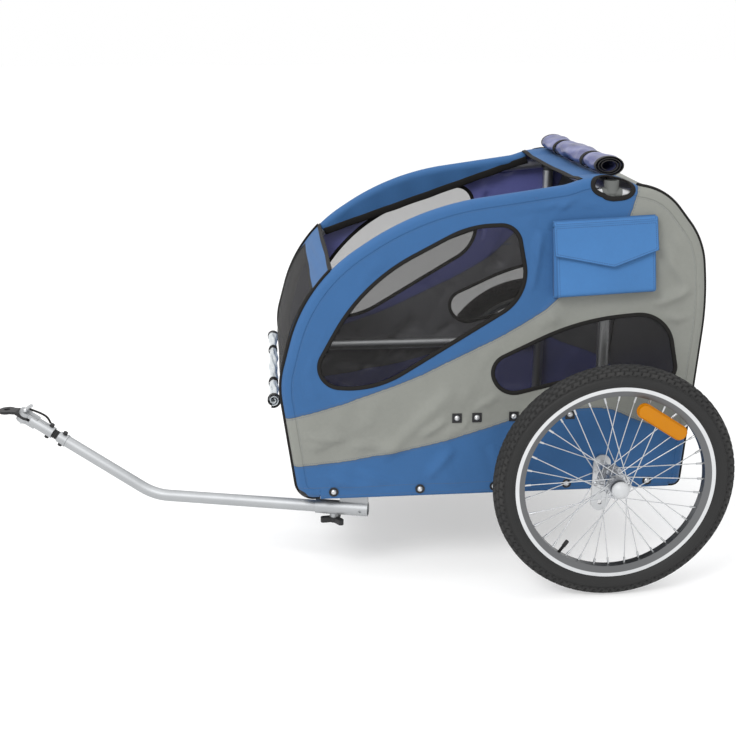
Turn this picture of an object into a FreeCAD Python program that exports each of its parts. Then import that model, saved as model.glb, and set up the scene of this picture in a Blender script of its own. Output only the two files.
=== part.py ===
import FreeCAD, Part
import math
import os

os.makedirs("parts", exist_ok=True)

# A two-wheeled trailer for a dog, towed by a bicycle. Millimetres.
# The front faces -X, the left side -Y, and +Z is up. While the pieces are made,
# x is counted from the wheel axle and z from the ground. Each finished piece is
# then moved so that the middle of the whole trailer stands over the origin.

Vector = FreeCAD.Vector
ORIGIN = Vector(0, 0, 0)
X_AXIS = Vector(1, 0, 0)
Y_AXIS = Vector(0, 1, 0)
Z_AXIS = Vector(0, 0, 1)

# Clearances and the overrun of every cut
FIT_GAP = 0.3
RUN_GAP = 0.05
CUT_OVERRUN = 10.0

# Tyre and rim
TYRE_RADIUS = 252.0
TYRE_WIDTH = 46.0
TYRE_WALL = 4.0
TREAD_GROOVE_WIDTH = 3.0
TREAD_GROOVE_DEPTH = 2.0
TREAD_GROOVE_PITCH = 9.0
TRACK = 780.0
WHEEL_SPACE = 92.0
BEAD_RADIUS = 203.0
RIM_WIDTH = 30.0
RIM_WALL = 2.0
RIM_DEPTH = 15.0
RIM_CROWN_WIDTH = 17.0
VALVE_RADIUS = 3.2
VALVE_CAP_RADIUS = 4.2
VALVE_LENGTH = 30.0
VALVE_ANGLE = 235.0

# Hub, bearings and spokes
HUB_LENGTH = 68.0
HUB_BARREL_RADIUS = 18.0
HUB_WAIST_RADIUS = 15.5
HUB_BORE_RADIUS = 10.0
FLANGE_RADIUS = 27.0
FLANGE_WIDTH = 3.0
FLANGE_SPACING = 50.0
FLANGE_HOLE_INSET = 4.5
BEARING_RADIUS = 14.0
BEARING_WIDTH = 8.0
BEARING_RACE = 2.2
BEARING_SHIELD_DEPTH = 0.8
SPOKE_COUNT = 36
SPOKE_CROSSES = 3
SPOKE_RADIUS = 1.0
SPOKE_LIFT = 2.6
SPOKE_HEAD_RADIUS = 2.0
SPOKE_HEAD_LENGTH = 1.4
SPOKE_HOLE_GAP = 0.25
NIPPLE_RADIUS = 2.2
NIPPLE_LENGTH = 13.0
RIM_HOLE_OFFSET = 2.0

# Spoke reflector
REFLECTOR_LENGTH = 122.0
REFLECTOR_WIDTH = 32.0
REFLECTOR_THICKNESS = 8.0
REFLECTOR_DISTANCE = 158.0
REFLECTOR_ANGLE = 57.0
REFLECTOR_LENS_SHARE = 0.8

# Stub axle, its bracket and the release button
AXLE_RADIUS = 6.0
AXLE_COLLAR_RADIUS = 9.0
AXLE_COLLAR_LENGTH = 4.0
BRACKET_WIDTH = 38.0
BRACKET_THICKNESS = 5.0
BRACKET_RISE = 24.0
BRACKET_DROP = 104.0
BRACKET_SLEEVE_RADIUS = 12.0
BRACKET_PIN_HOLE_RADIUS = 5.0
BRACKET_BOLT_SPACING = 22.0
BUTTON_RADIUS = 18.0
BUTTON_LENGTH = 16.0
BUTTON_SKIRT = 5.0
BUTTON_GUIDE = 7.0
BUTTON_TRAVEL = 4.0
PLUNGER_RADIUS = 2.5
PLUNGER_LENGTH = 45.0

# Body: the outer size of the sewn cover
BODY_LENGTH = 876.0
AXLE_SHARE = 0.7614
BODY_HEIGHT = 657.0
BODY_BOTTOM = 197.0
BODY_TAPER = 25.6
COVER_THICKNESS = 2.0
WINDOW_THICKNESS = 1.0

# Corners of outlines on the side of the body, front to rear over the top:
# share of the body length, share of the body height, and how far the rounding
# reaches along the shorter of the two edges, as a share of that edge.
OUTLINE_SHARES = (
    (0.026, 0.000, 0.055),
    (-0.013, 0.381, 0.17),
    (0.051, 0.695, 0.58),
    (0.313, 0.923, 0.47),
    (0.740, 1.000, 0.07),
    (0.887, 0.959, 0.34),
    (0.981, 0.804, 0.37),
    (0.998, 0.610, 0.50),
    (0.962, 0.000, 0.035),
)
LARGE_WINDOW_SHARES = (
    (0.183, 0.697, 0.48),
    (0.428, 0.865, 0.48),
    (0.539, 0.868, 0.36),
    (0.572, 0.647, 0.44),
    (0.209, 0.356, 0.48),
    (0.048, 0.378, 0.48),
)
SMALL_WINDOW_SHARES = (
    (0.475, 0.430, 0.48),
    (0.692, 0.564, 0.48),
    (0.903, 0.586, 0.40),
    (0.942, 0.336, 0.45),
    (0.817, 0.378, 0.42),
    (0.652, 0.365, 0.13),
    (0.513, 0.323, 0.48),
)
CONNECTOR_CORNER = 4
OPENING_REAR_SHARES = (0.684, 0.990)
OPENING_FRONT_SHARES = (0.105, 0.732)
MESH_BOTTOM_SHARE = 0.355
BOLT_ROW_SHARES = (0.0, 0.271, 0.507, 0.739, 1.0)
STAY_BOLT_SHARES = (0.405, 0.453, 0.542, 0.679)

# Frame tubes and fittings
TUBE_RADIUS = 12.5
TUBE_WALL = 1.6
SPIGOT_LENGTH = 30.0
SPIGOT_GAP = 0.1
CORNER_REACH = 22.0
CONNECTOR_REACH = 20.0
CONNECTOR_SHARE = 0.7568
CONNECTOR_DROP = 28.0
SOCKET_RADIUS = 15.0
SOCKET_BORE_RADIUS = 11.0
SOCKET_RISE = 25.0
SOCKET_DEPTH = 20.0
STAY_HEIGHT = 169.0
FLOOR_THICKNESS = 4.0
FLOOR_SIDE_SPACE = 2.0
PORT_LENGTH = 94.0
PORT_HEIGHT = 68.0
PORT_SHIFT = 12.0
PORT_TILT = 45.0

# Bolts that hold the cover and the fittings to the tubes
BOLT_RADIUS = 2.5
BOLT_HEAD_RADIUS = 6.0
BOLT_HEAD_HEIGHT = 4.0
BOLT_HOLE_GAP = 0.2
BOLT_END_SPACE = 60.0
WASHER_RADIUS = 10.0
WASHER_THICKNESS = 1.5
STAY_WASHER_WIDTH = 20.0

# Pockets
POCKET_LENGTH = 210.0
POCKET_HEIGHT = 144.0
POCKET_SHARE = 0.7463
POCKET_BASE = 423.5
POCKET_TILT = 2.4
POCKET_DEPTH = 27.0
POCKET_MOUTH = 10.0
POCKET_WALL = 2.0
POCKET_HEADER_RISE = 12.0
POCKET_HEADER_HEIGHT = 10.0
FLAP_SIDE_DROP = 66.0
FLAP_TIP_DROP = 94.0
FLAP_THICKNESS = 2.0
FLAP_TIP_SHARE = 0.56

# Rolled covers and their straps
TOP_ROLL_RADIUS = 25.0
TOP_ROLL_SHEET = 3.0
TOP_ROLL_GAP = 1.5
TOP_ROLL_HALF_TURNS = 6
TOP_ROLL_LENGTH = 464.0
TOP_ROLL_BACK = -8.0
FRONT_ROLL_RADIUS = 17.0
FRONT_ROLL_SHEET = 2.0
FRONT_ROLL_GAP = 1.2
FRONT_ROLL_HALF_TURNS = 5
FRONT_ROLL_LENGTH = 500.0
FRONT_ROLL_HEIGHT = 208.0
STRAP_THICKNESS = 1.5
STRAP_WIDTH = 20.0
STRAP_SPREAD_SHARE = 0.5

# Rear reflectors
LAMP_WIDTH = 52.0
LAMP_HEIGHT = 36.0
LAMP_THICKNESS = 8.0
LAMP_UP = 148.0
LAMP_INSET = 20.0
LAMP_ROUND = 6.0

# Tow bar and receiver
TOW_RADIUS = 12.7
TOW_WALL = 2.0
TOW_HEIGHT = 165.0
TOW_TOE = 14.7
TOW_FRONT_INSET = 67.0
TOW_SIDE_INSET = 36.0
TOW_INSERT = 100.0
TOW_LEVEL_RUN = 370.0
TOW_RISE_RUN = 246.0
TOW_RISE = 30.0
TOW_BEND_RADIUS = 120.0
TOW_COLLAR_RADIUS = 14.2
TOW_COLLAR_LENGTH = 4.0
TOW_COLLAR_SPACE = 1.5
SLEEVE_WALL = 2.5
SLEEVE_BEHIND = 105.0
SLEEVE_AHEAD = 8.0
SLEEVE_PIN_HOLE_RADIUS = 3.0
SLEEVE_PIN_HOLE_BACK = 90.0
WEB_THICKNESS = 8.0
WEB_LENGTH = 60.0
SADDLE_THICKNESS = 3.0
SADDLE_LENGTH = 62.0
SADDLE_WIDTH = 21.0
SADDLE_BOLT_SPACING = 34.0

# Clamp knob under the receiver
KNOB_BACK = 31.0
KNOB_BOSS_RADIUS = 9.0
KNOB_BOSS_DROP = 6.0
KNOB_SCREW_RADIUS = 4.0
KNOB_HUB_RADIUS = 10.0
KNOB_THICKNESS = 11.0
KNOB_ARM_RADIUS = 6.0
KNOB_ARM_REACH = 23.0
KNOB_ARMS = 3
KNOB_TURN = 20.0

# Coupler between tow bar and bicycle
LINK_NECK_RADIUS = 9.0
LINK_NECK_RIB = 1.4
LINK_NECK_RIBS = 3
LINK_NECK_LENGTH = 14.0
LINK_PLUG_LENGTH = 30.0
TONGUE_RADIUS = 12.7
TONGUE_WALL = 2.2
TONGUE_BODY = 56.0
COUPLER_BOLT_RADIUS = 3.0
COUPLER_BOLT_BACK = 10.0
COUPLER_NUT_RADIUS = 5.0
COUPLER_NUT_HEIGHT = 5.0
EAR_RADIUS = 14.0
HITCH_THICKNESS = 6.0
HITCH_SLOT_GAP = 0.4
HITCH_BACK_CLEARANCE = 4.0
HITCH_TAIL_REACH = 18.0
HITCH_PLATE_REACH = 24.0
HITCH_END_RADIUS = 18.0
HITCH_AXLE_HOLE_RADIUS = 6.5
PIN_RADIUS = 4.0
PIN_BELOW = 19.0
PIN_ABOVE = 21.0
PIN_HANDLE_RADIUS = 4.5
PIN_HANDLE_LENGTH = 28.0
PIN_STRAP_RADIUS = 1.5
PIN_STRAP_SAG = 4.0
STRAP_BEND_SHARE = 0.45

# Worked-out sizes that several pieces share
BODY_FRONT = AXLE_SHARE * BODY_LENGTH
BODY_WIDTH = TRACK - 2 * WHEEL_SPACE
BODY_TOP_WIDTH = BODY_WIDTH - 2 * BODY_TAPER
CONNECTOR_X = CONNECTOR_SHARE * BODY_LENGTH - BODY_FRONT
POCKET_X = POCKET_SHARE * BODY_LENGTH - BODY_FRONT
TOW_X = TOW_FRONT_INSET - BODY_FRONT
TOW_Y = TOW_SIDE_INSET - BODY_WIDTH / 2
LEAN = math.degrees(math.atan((BODY_WIDTH - BODY_TOP_WIDTH) / 2 / BODY_HEIGHT))
LEAN_RISE = math.cos(math.radians(LEAN))
SIDE_DEPTH = COVER_THICKNESS + FIT_GAP + TUBE_RADIUS
SPIGOT_RADIUS = TUBE_RADIUS - TUBE_WALL - SPIGOT_GAP
HUB_END = HUB_LENGTH / 2
RIM_FLOOR = BEAD_RADIUS - RIM_WALL
RIM_INNER = BEAD_RADIUS - RIM_DEPTH
BRACKET_FACE = BODY_WIDTH / 2 + FIT_GAP
SLEEVE_BORE = TOW_RADIUS + RUN_GAP
SLEEVE_RADIUS = SLEEVE_BORE + SLEEVE_WALL
TONGUE_BORE = TONGUE_RADIUS - TONGUE_WALL
TONGUE_START = LINK_NECK_LENGTH
PIN_AT = TONGUE_START + TONGUE_BODY + EAR_RADIUS + HITCH_BACK_CLEARANCE

# The left side leans in a little: its own frame has x along the body, y inward
# from the outer face of the cover and z up along the face from its lower edge.
LEFT = FreeCAD.Placement(
    Vector(0, -BODY_WIDTH / 2, BODY_BOTTOM), FreeCAD.Rotation(X_AXIS, -LEAN)
)
# The tow bar's frame has x forward along the bar, y to its left and z up.
TOW = FreeCAD.Placement(Vector(TOW_X, TOW_Y, 0), FreeCAD.Rotation(Z_AXIS, 180 - TOW_TOE))
# The coupler's frame starts at the tow tube's end: x along the tube, z across it.
TOW_END = Vector(
    TOW_LEVEL_RUN + TOW_RISE_RUN * math.cos(math.radians(TOW_RISE)),
    0,
    TOW_HEIGHT + TOW_RISE_RUN * math.sin(math.radians(TOW_RISE)),
)
COUPLER = TOW.multiply(FreeCAD.Placement(TOW_END, FreeCAD.Rotation(Y_AXIS, -TOW_RISE)))


def placed(shape, placement):
    """A copy of the shape, moved from a frame of its own into the trailer's frame."""
    copy = shape.copy()
    copy.Placement = placement.multiply(copy.Placement)
    return copy


def mirrored(shape):
    """The right-hand twin of a left-hand piece."""
    return shape.mirror(ORIGIN, Y_AXIS)


def joined(pieces):
    """One solid from pieces that touch or overlap."""
    return pieces[0].multiFuse(pieces[1:]).removeSplitter()


def block(low, high):
    """A box between two corners."""
    size = high - low
    return Part.makeBox(size.x, size.y, size.z, low)


def rod(start, end, radius):
    """A round bar between two points."""
    return Part.makeCylinder(radius, (end - start).Length, start, end - start)


def bent_rod(points, bends, radius):
    """A round bar swept along straight runs that are joined by tangent bends."""
    line = []
    start = points[0]
    for before, at, after, bend in zip(points, points[1:], points[2:], bends):
        into = (at - before).normalize()
        out = (after - at).normalize()
        half = into.getAngle(out) / 2
        reach = bend * math.tan(half)
        middle = at + (out - into).normalize() * (bend / math.cos(half) - bend)
        line.append(Part.makeLine(start, at - into * reach))
        line.append(Part.Arc(at - into * reach, middle, at + out * reach).toShape())
        start = at + out * reach
    line.append(Part.makeLine(start, points[-1]))
    ring = Part.Wire(Part.makeCircle(radius, points[0], points[1] - points[0]))
    return Part.Wire(line).makePipeShell([ring], True, False)


def tube(points, bends=()):
    """A frame tube along straight runs and bends."""
    outer = bent_rod(points, bends, TUBE_RADIUS)
    return outer.cut(bent_rod(points, bends, TUBE_RADIUS - TUBE_WALL))


def turned(profile):
    """A solid of revolution about the wheel axis from (radius, outward) points."""
    points = [Vector(radius, -out, 0) for radius, out in profile]
    face = Part.Face(Part.makePolygon(points + points[:1]))
    return face.revolve(ORIGIN, Y_AXIS, 360)


def dome_arc(radius, start, height):
    """Arc of a round cap, from its rim at a start along -Y to the crown on the axis."""
    ball = (radius ** 2 + height ** 2) / (2 * height)
    half = math.atan2(radius, ball - height) / 2
    middle = Vector(ball * math.sin(half), -start - height + ball * (1 - math.cos(half)), 0)
    return Part.Arc(Vector(radius, -start, 0), middle, Vector(0, -start - height, 0)).toShape()


def wheel_point(radius, degrees, out):
    """A point of the left wheel, whose outer side faces -Y."""
    angle = math.radians(degrees)
    return Vector(radius * math.cos(angle), -out, radius * math.sin(angle))


def side_points(shares):
    """Corners of an outline on the body's side, from shares of its length and height."""
    return [Vector(along * BODY_LENGTH - BODY_FRONT, 0, up * BODY_HEIGHT) for along, up, _ in shares]


def corner_radii(points, shares):
    """Rounding radius of each corner, from the share of its shorter edge that it uses."""
    radii = []
    for index, share in enumerate(shares):
        back = points[index - 1] - points[index]
        ahead = points[(index + 1) % len(points)] - points[index]
        reach = share[-1] * min(back.Length, ahead.Length)
        radii.append(reach * math.tan(back.getAngle(ahead) / 2))
    return radii


def inset(points, radii, depth):
    """The parallel outline that lies a depth inside a clockwise one, with its radii."""
    inner = []
    inner_radii = []
    for index, at in enumerate(points):
        into = (at - points[index - 1]).normalize()
        out = (points[(index + 1) % len(points)] - at).normalize()
        first = Vector(into.z, 0, -into.x)
        second = Vector(out.z, 0, -out.x)
        inner.append(at + (first + second) * (depth / (1 + first.dot(second))))
        turn = 1 if into.z * out.x - into.x * out.z > 0 else -1
        inner_radii.append(radii[index] - turn * depth)
    return inner, inner_radii


def rounded_face(points, radii):
    """A flat face with straight edges and round corners."""
    arcs = []
    for index, at in enumerate(points):
        back = (points[index - 1] - at).normalize()
        ahead = (points[(index + 1) % len(points)] - at).normalize()
        half = back.getAngle(ahead) / 2
        reach = radii[index] / math.tan(half)
        centre = at + (back + ahead).normalize() * (radii[index] / math.sin(half))
        middle = centre + (at - centre).normalize() * radii[index]
        arcs.append(Part.Arc(at + back * reach, middle, at + ahead * reach).toShape())
    edges = []
    for arc, following in zip(arcs, arcs[1:] + arcs[:1]):
        edges.append(arc)
        start = arc.Vertexes[-1].Point
        end = following.Vertexes[0].Point
        if start.distanceToPoint(end) > FIT_GAP:
            edges.append(Part.makeLine(start, end))
    return Part.Face(Part.Wire(Part.__sortEdges__(edges)))


OUTLINE = side_points(OUTLINE_SHARES)
OUTLINE_RADII = corner_radii(OUTLINE, OUTLINE_SHARES)
TUBE_LINE, TUBE_RADII = inset(OUTLINE, OUTLINE_RADII, SIDE_DEPTH)
CONNECTOR = Vector(CONNECTOR_X, 0, BODY_HEIGHT - CONNECTOR_DROP)


def in_depth(point):
    """A point of the side's tube line, set in to the depth of the tubes."""
    return point + Y_AXIS * SIDE_DEPTH


def left_point(point):
    """A point of the left side's frame, in the trailer's frame."""
    return LEFT.multVec(point)


FRONT_CORNER = in_depth(TUBE_LINE[0])
REAR_CORNER = in_depth(TUBE_LINE[-1])
TOP_CORNER = in_depth(CONNECTOR)
FRONT_BASE = left_point(FRONT_CORNER)
REAR_BASE = left_point(REAR_CORNER)
TOP_BASE = left_point(TOP_CORNER)


# Wheels: made for the left side around their own centre


def tyre():
    """Hollow tyre with a round section, two beads, tread grooves and a valve."""
    half = TYRE_WIDTH / 2
    middle = TYRE_RADIUS - half
    bead_out = RIM_WIDTH / 2 - RIM_WALL - FIT_GAP
    bead_in = bead_out - TYRE_WALL
    join_out = middle - math.sqrt(half ** 2 - bead_out ** 2)
    inner = half - TYRE_WALL
    join_in = middle - math.sqrt(inner ** 2 - bead_in ** 2)
    outer_arc = Part.Arc(
        Vector(join_out, -bead_out, 0), Vector(TYRE_RADIUS, 0, 0), Vector(join_out, bead_out, 0)
    )
    inner_arc = Part.Arc(
        Vector(join_in, bead_in, 0), Vector(TYRE_RADIUS - TYRE_WALL, 0, 0), Vector(join_in, -bead_in, 0)
    )
    foot = BEAD_RADIUS + FIT_GAP
    right = Part.makePolygon([
        Vector(join_out, bead_out, 0), Vector(foot, bead_out, 0),
        Vector(foot, bead_in, 0), Vector(join_in, bead_in, 0),
    ])
    left = Part.makePolygon([
        Vector(join_in, -bead_in, 0), Vector(foot, -bead_in, 0),
        Vector(foot, -bead_out, 0), Vector(join_out, -bead_out, 0),
    ])
    wire = Part.Wire([outer_arc.toShape()] + right.Edges + [inner_arc.toShape()] + left.Edges)
    carcass = Part.Face(wire).revolve(ORIGIN, Y_AXIS, 360)
    grooves = []
    for step in (-1.5, -0.5, 0.5, 1.5):
        place = step * TREAD_GROOVE_PITCH
        crown = middle + math.sqrt(half ** 2 - place ** 2)
        floor = crown - TREAD_GROOVE_DEPTH
        top = TYRE_RADIUS + CUT_OVERRUN
        low = place - TREAD_GROOVE_WIDTH / 2
        high = place + TREAD_GROOVE_WIDTH / 2
        grooves.append(turned(((floor, low), (top, low), (top, high), (floor, high))))
    return carcass.cut(Part.makeCompound(grooves))


def valve():
    """Rubber valve stem with its cap, standing in from the rim."""
    start = wheel_point(RIM_INNER - FIT_GAP, VALVE_ANGLE, 0)
    end = wheel_point(RIM_INNER - FIT_GAP - VALVE_LENGTH, VALVE_ANGLE, 0)
    cap_start = start + (end - start) / 2
    return joined([rod(start, end, VALVE_RADIUS), rod(cap_start, end, VALVE_CAP_RADIUS)])


def rim():
    """Rim with two side walls that hold the beads and a tapered inner face."""
    half = RIM_WIDTH / 2
    well = half - RIM_WALL
    tyre_half = TYRE_WIDTH / 2
    bead_out = well - FIT_GAP
    top = TYRE_RADIUS - tyre_half - math.sqrt(tyre_half ** 2 - bead_out ** 2) - FIT_GAP
    crown = RIM_CROWN_WIDTH / 2
    return turned((
        (top, -half), (RIM_FLOOR, -half), (RIM_INNER, -crown), (RIM_INNER, crown),
        (RIM_FLOOR, half), (top, half), (top, well), (BEAD_RADIUS, well),
        (BEAD_RADIUS, -well), (top, -well),
    ))


HOLE_STEP = 360 / (SPOKE_COUNT / 2)
HOLE_RADIUS = FLANGE_RADIUS - FLANGE_HOLE_INSET
SPOKE_TURN = 720 * SPOKE_CROSSES / SPOKE_COUNT
OUTSIDE_ELBOW = FLANGE_WIDTH / 2 + SPOKE_RADIUS + SPOKE_LIFT
INSIDE_ELBOW = FLANGE_WIDTH / 2 + SPOKE_RADIUS + FIT_GAP


def hub():
    """Hub shell with two drilled flanges and a bearing seat in each end."""
    flange_in = FLANGE_SPACING / 2 - FLANGE_WIDTH / 2
    flange_out = FLANGE_SPACING / 2 + FLANGE_WIDTH / 2
    seat = BEARING_RADIUS + RUN_GAP
    seat_floor = HUB_END - BEARING_WIDTH - FIT_GAP
    half = [
        (HUB_WAIST_RADIUS, 0), (HUB_BARREL_RADIUS, flange_in), (FLANGE_RADIUS, flange_in),
        (FLANGE_RADIUS, flange_out), (HUB_BARREL_RADIUS, flange_out), (HUB_BARREL_RADIUS, HUB_END),
        (seat, HUB_END), (seat, seat_floor), (HUB_BORE_RADIUS, seat_floor),
    ]
    other = [(radius, -out) for radius, out in half[:0:-1]]
    shell = turned(half + other)
    drills = []
    for side, first in ((1, 0), (-1, HOLE_STEP / 2)):
        for hole in range(SPOKE_COUNT // 2):
            angle = first + hole * HOLE_STEP
            start = wheel_point(HOLE_RADIUS, angle, side * flange_in - side * FIT_GAP)
            end = wheel_point(HOLE_RADIUS, angle, side * flange_out + side * FIT_GAP)
            drills.append(rod(start, end, SPOKE_RADIUS + SPOKE_HOLE_GAP))
    return shell.cut(Part.makeCompound(drills))


def bearings():
    """Two cartridge bearings with recessed shields."""
    bore = AXLE_RADIUS + RUN_GAP
    start = HUB_END - BEARING_WIDTH
    shield_in = bore + BEARING_RACE
    shield_out = BEARING_RADIUS - BEARING_RACE
    ring = turned((
        (bore, start), (BEARING_RADIUS, start), (BEARING_RADIUS, HUB_END), (shield_out, HUB_END),
        (shield_out, HUB_END - BEARING_SHIELD_DEPTH), (shield_in, HUB_END - BEARING_SHIELD_DEPTH),
        (shield_in, HUB_END), (bore, HUB_END),
    ))
    return [ring, ring.mirror(ORIGIN, Y_AXIS)]


def spoke(side, lead):
    """One spoke with its elbow, head and nipple, at the first hole of its flange."""
    outward = side if lead > 0 else -side
    flange = side * FLANGE_SPACING / 2
    elbow_offset = OUTSIDE_ELBOW if lead > 0 else INSIDE_ELBOW
    elbow_out = flange + outward * elbow_offset
    head_out = flange - outward * (FLANGE_WIDTH / 2 + FIT_GAP)
    elbow = wheel_point(HOLE_RADIUS, 0, elbow_out)
    head = wheel_point(HOLE_RADIUS, 0, head_out)
    head_end = wheel_point(HOLE_RADIUS, 0, head_out - outward * SPOKE_HEAD_LENGTH)
    rim_end = wheel_point(RIM_INNER - 2 * FIT_GAP, lead * SPOKE_TURN, side * RIM_HOLE_OFFSET)
    nipple = rim_end + (elbow - rim_end).normalize() * NIPPLE_LENGTH
    return joined([
        rod(elbow, rim_end, SPOKE_RADIUS),
        Part.makeSphere(SPOKE_RADIUS, elbow),
        rod(elbow, head_end, SPOKE_RADIUS),
        rod(head, head_end, SPOKE_HEAD_RADIUS),
        rod(nipple, rim_end, NIPPLE_RADIUS),
    ])


def spokes():
    """All spokes of a wheel: both flanges, each with leading and trailing spokes."""
    solids = []
    for side, first in ((1, 0), (-1, HOLE_STEP / 2)):
        for lead, offset in ((1, 0), (-1, HOLE_STEP)):
            pattern = spoke(side, lead)
            for copy in range(SPOKE_COUNT // 4):
                turn = first + offset + copy * 2 * HOLE_STEP
                solids.append(pattern.rotated(ORIGIN, Y_AXIS, -turn))
    return solids


def spoke_out(radius):
    """How far out the outer spokes stand at a distance from the axle."""
    angle = math.radians(SPOKE_TURN)
    rim_end = RIM_INNER - 2 * FIT_GAP
    span = math.sqrt(HOLE_RADIUS ** 2 + rim_end ** 2 - 2 * HOLE_RADIUS * rim_end * math.cos(angle))
    nearest = HOLE_RADIUS * rim_end * math.sin(angle) / span
    start = math.sqrt(HOLE_RADIUS ** 2 - nearest ** 2)
    share = (math.sqrt(radius ** 2 - nearest ** 2) - start) / span
    elbow = FLANGE_SPACING / 2 + OUTSIDE_ELBOW
    return elbow + (RIM_HOLE_OFFSET - elbow) * share


def spoke_reflector():
    """Reflector across the outer spokes, with round ends and a raised middle."""
    seat = spoke_out(REFLECTOR_DISTANCE - REFLECTOR_WIDTH / 2) + SPOKE_RADIUS + FIT_GAP
    half = REFLECTOR_LENGTH / 2 - REFLECTOR_WIDTH / 2
    corner = REFLECTOR_WIDTH / 2
    layers = []
    for radius, height in ((corner, REFLECTOR_THICKNESS / 2), (corner * REFLECTOR_LENS_SHARE, REFLECTOR_THICKNESS)):
        ends = [Vector(REFLECTOR_DISTANCE, -seat, place) for place in (-half, half)]
        lift = Vector(0, -height, 0)
        bar = block(
            Vector(REFLECTOR_DISTANCE - radius, -seat - height, -half),
            Vector(REFLECTOR_DISTANCE + radius, -seat, half),
        )
        layers += [rod(end, end + lift, radius) for end in ends] + [bar]
    return joined(layers).rotated(ORIGIN, Y_AXIS, -REFLECTOR_ANGLE)


def stub_axle():
    """Hollow stub axle with a collar at each end of the hub."""
    start = BRACKET_FACE - TRACK / 2
    collar_in = HUB_END + FIT_GAP
    collar_out = collar_in + AXLE_COLLAR_LENGTH
    end = collar_out + BUTTON_TRAVEL + FIT_GAP + BUTTON_GUIDE
    return turned((
        (PLUNGER_RADIUS, start), (AXLE_RADIUS, start), (AXLE_RADIUS, -collar_out),
        (AXLE_COLLAR_RADIUS, -collar_out), (AXLE_COLLAR_RADIUS, -collar_in), (AXLE_RADIUS, -collar_in),
        (AXLE_RADIUS, collar_in), (AXLE_COLLAR_RADIUS, collar_in), (AXLE_COLLAR_RADIUS, collar_out),
        (AXLE_RADIUS, collar_out), (AXLE_RADIUS, end), (PLUNGER_RADIUS, end),
    ))


def release_button():
    """Domed button that slides on the axle end, with a plunger down the axle's bore."""
    skirt = HUB_END + FIT_GAP + AXLE_COLLAR_LENGTH + BUTTON_TRAVEL + FIT_GAP
    floor = skirt + BUTTON_GUIDE + BUTTON_TRAVEL + FIT_GAP
    top = skirt + BUTTON_LENGTH
    bore = AXLE_RADIUS + RUN_GAP
    stem = PLUNGER_RADIUS - RUN_GAP
    shoulder = skirt + BUTTON_SKIRT
    dome = dome_arc(BUTTON_RADIUS, shoulder, top - shoulder)
    rest = Part.makePolygon([
        Vector(0, -top, 0), Vector(0, PLUNGER_LENGTH - floor, 0),
        Vector(stem, PLUNGER_LENGTH - floor, 0), Vector(stem, -floor, 0),
        Vector(bore, -floor, 0), Vector(bore, -skirt, 0),
        Vector(BUTTON_RADIUS, -skirt, 0), Vector(BUTTON_RADIUS, -shoulder, 0),
    ])
    return Part.Face(Part.Wire([dome] + rest.Edges)).revolve(ORIGIN, Y_AXIS, 360)


def axle_bracket():
    """Upright plate on the outside of the rail, with the sleeve that takes the axle."""
    half = BRACKET_WIDTH / 2
    top = Vector(0, -BRACKET_FACE, TYRE_RADIUS + BRACKET_RISE - half)
    foot = Vector(0, -BRACKET_FACE, TYRE_RADIUS - BRACKET_DROP + half)
    out = Vector(0, -BRACKET_THICKNESS, 0)
    plate = [
        rod(top, top + out, half),
        rod(foot, foot + out, half),
        block(foot - X_AXIS * half + out, top + X_AXIS * half),
    ]
    centre = Vector(0, -BRACKET_FACE, TYRE_RADIUS)
    sleeve_end = TRACK / 2 - HUB_END - 2 * FIT_GAP - AXLE_COLLAR_LENGTH
    mouth = Vector(0, -sleeve_end, TYRE_RADIUS)
    solid = joined(plate + [rod(centre, mouth, BRACKET_SLEEVE_RADIUS)])
    cuts = [
        rod(centre + Y_AXIS * CUT_OVERRUN, mouth - Y_AXIS * CUT_OVERRUN, AXLE_RADIUS + RUN_GAP),
        rod(foot + Y_AXIS * CUT_OVERRUN, foot - Y_AXIS * CUT_OVERRUN, BRACKET_PIN_HOLE_RADIUS),
    ]
    for place in bracket_bolt_places():
        cuts.append(rod(place + Y_AXIS * CUT_OVERRUN, place - Y_AXIS * CUT_OVERRUN, BOLT_RADIUS + BOLT_HOLE_GAP))
    return solid.cut(Part.makeCompound(cuts))


def bracket_bolt_places():
    """Where the two bracket bolts pass the plate's outer face, level with the rail."""
    face = BRACKET_FACE + BRACKET_THICKNESS
    half = BRACKET_BOLT_SPACING / 2
    return [Vector(side * half, -face, FRONT_BASE.z) for side in (-1, 1)]


# Frame


def fitting(centre, arms):
    """A moulded corner: a ball with arms that end in spigots inside the tubes."""
    pieces = [Part.makeSphere(TUBE_RADIUS, centre)]
    for direction, reach in arms:
        shoulder = centre + direction * reach
        pieces.append(rod(centre, shoulder, TUBE_RADIUS))
        pieces.append(rod(centre, shoulder + direction * SPIGOT_LENGTH, SPIGOT_RADIUS))
    return pieces


def toward(start, end):
    """Unit direction from one point to another."""
    return (end - start).normalize()


FRONT_UP = toward(TUBE_LINE[0], TUBE_LINE[1])
REAR_UP = toward(TUBE_LINE[-1], TUBE_LINE[-2])
TOP_FORWARD = toward(CONNECTOR, TUBE_LINE[CONNECTOR_CORNER - 1])
TOP_BACK = toward(CONNECTOR, TUBE_LINE[CONNECTOR_CORNER + 1])


def base_rail():
    """Straight rail along the foot of the left side."""
    start = FRONT_CORNER + X_AXIS * CORNER_REACH
    end = REAR_CORNER - X_AXIS * CORNER_REACH
    return placed(tube([start, end]), LEFT)


def front_hoop():
    """Tube from the front corner over the top to the connector."""
    inner = TUBE_LINE[1:CONNECTOR_CORNER]
    points = [TUBE_LINE[0] + FRONT_UP * CORNER_REACH] + inner + [CONNECTOR + TOP_FORWARD * CONNECTOR_REACH]
    path = [in_depth(point) for point in points]
    return placed(tube(path, TUBE_RADII[1:CONNECTOR_CORNER]), LEFT)


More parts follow.
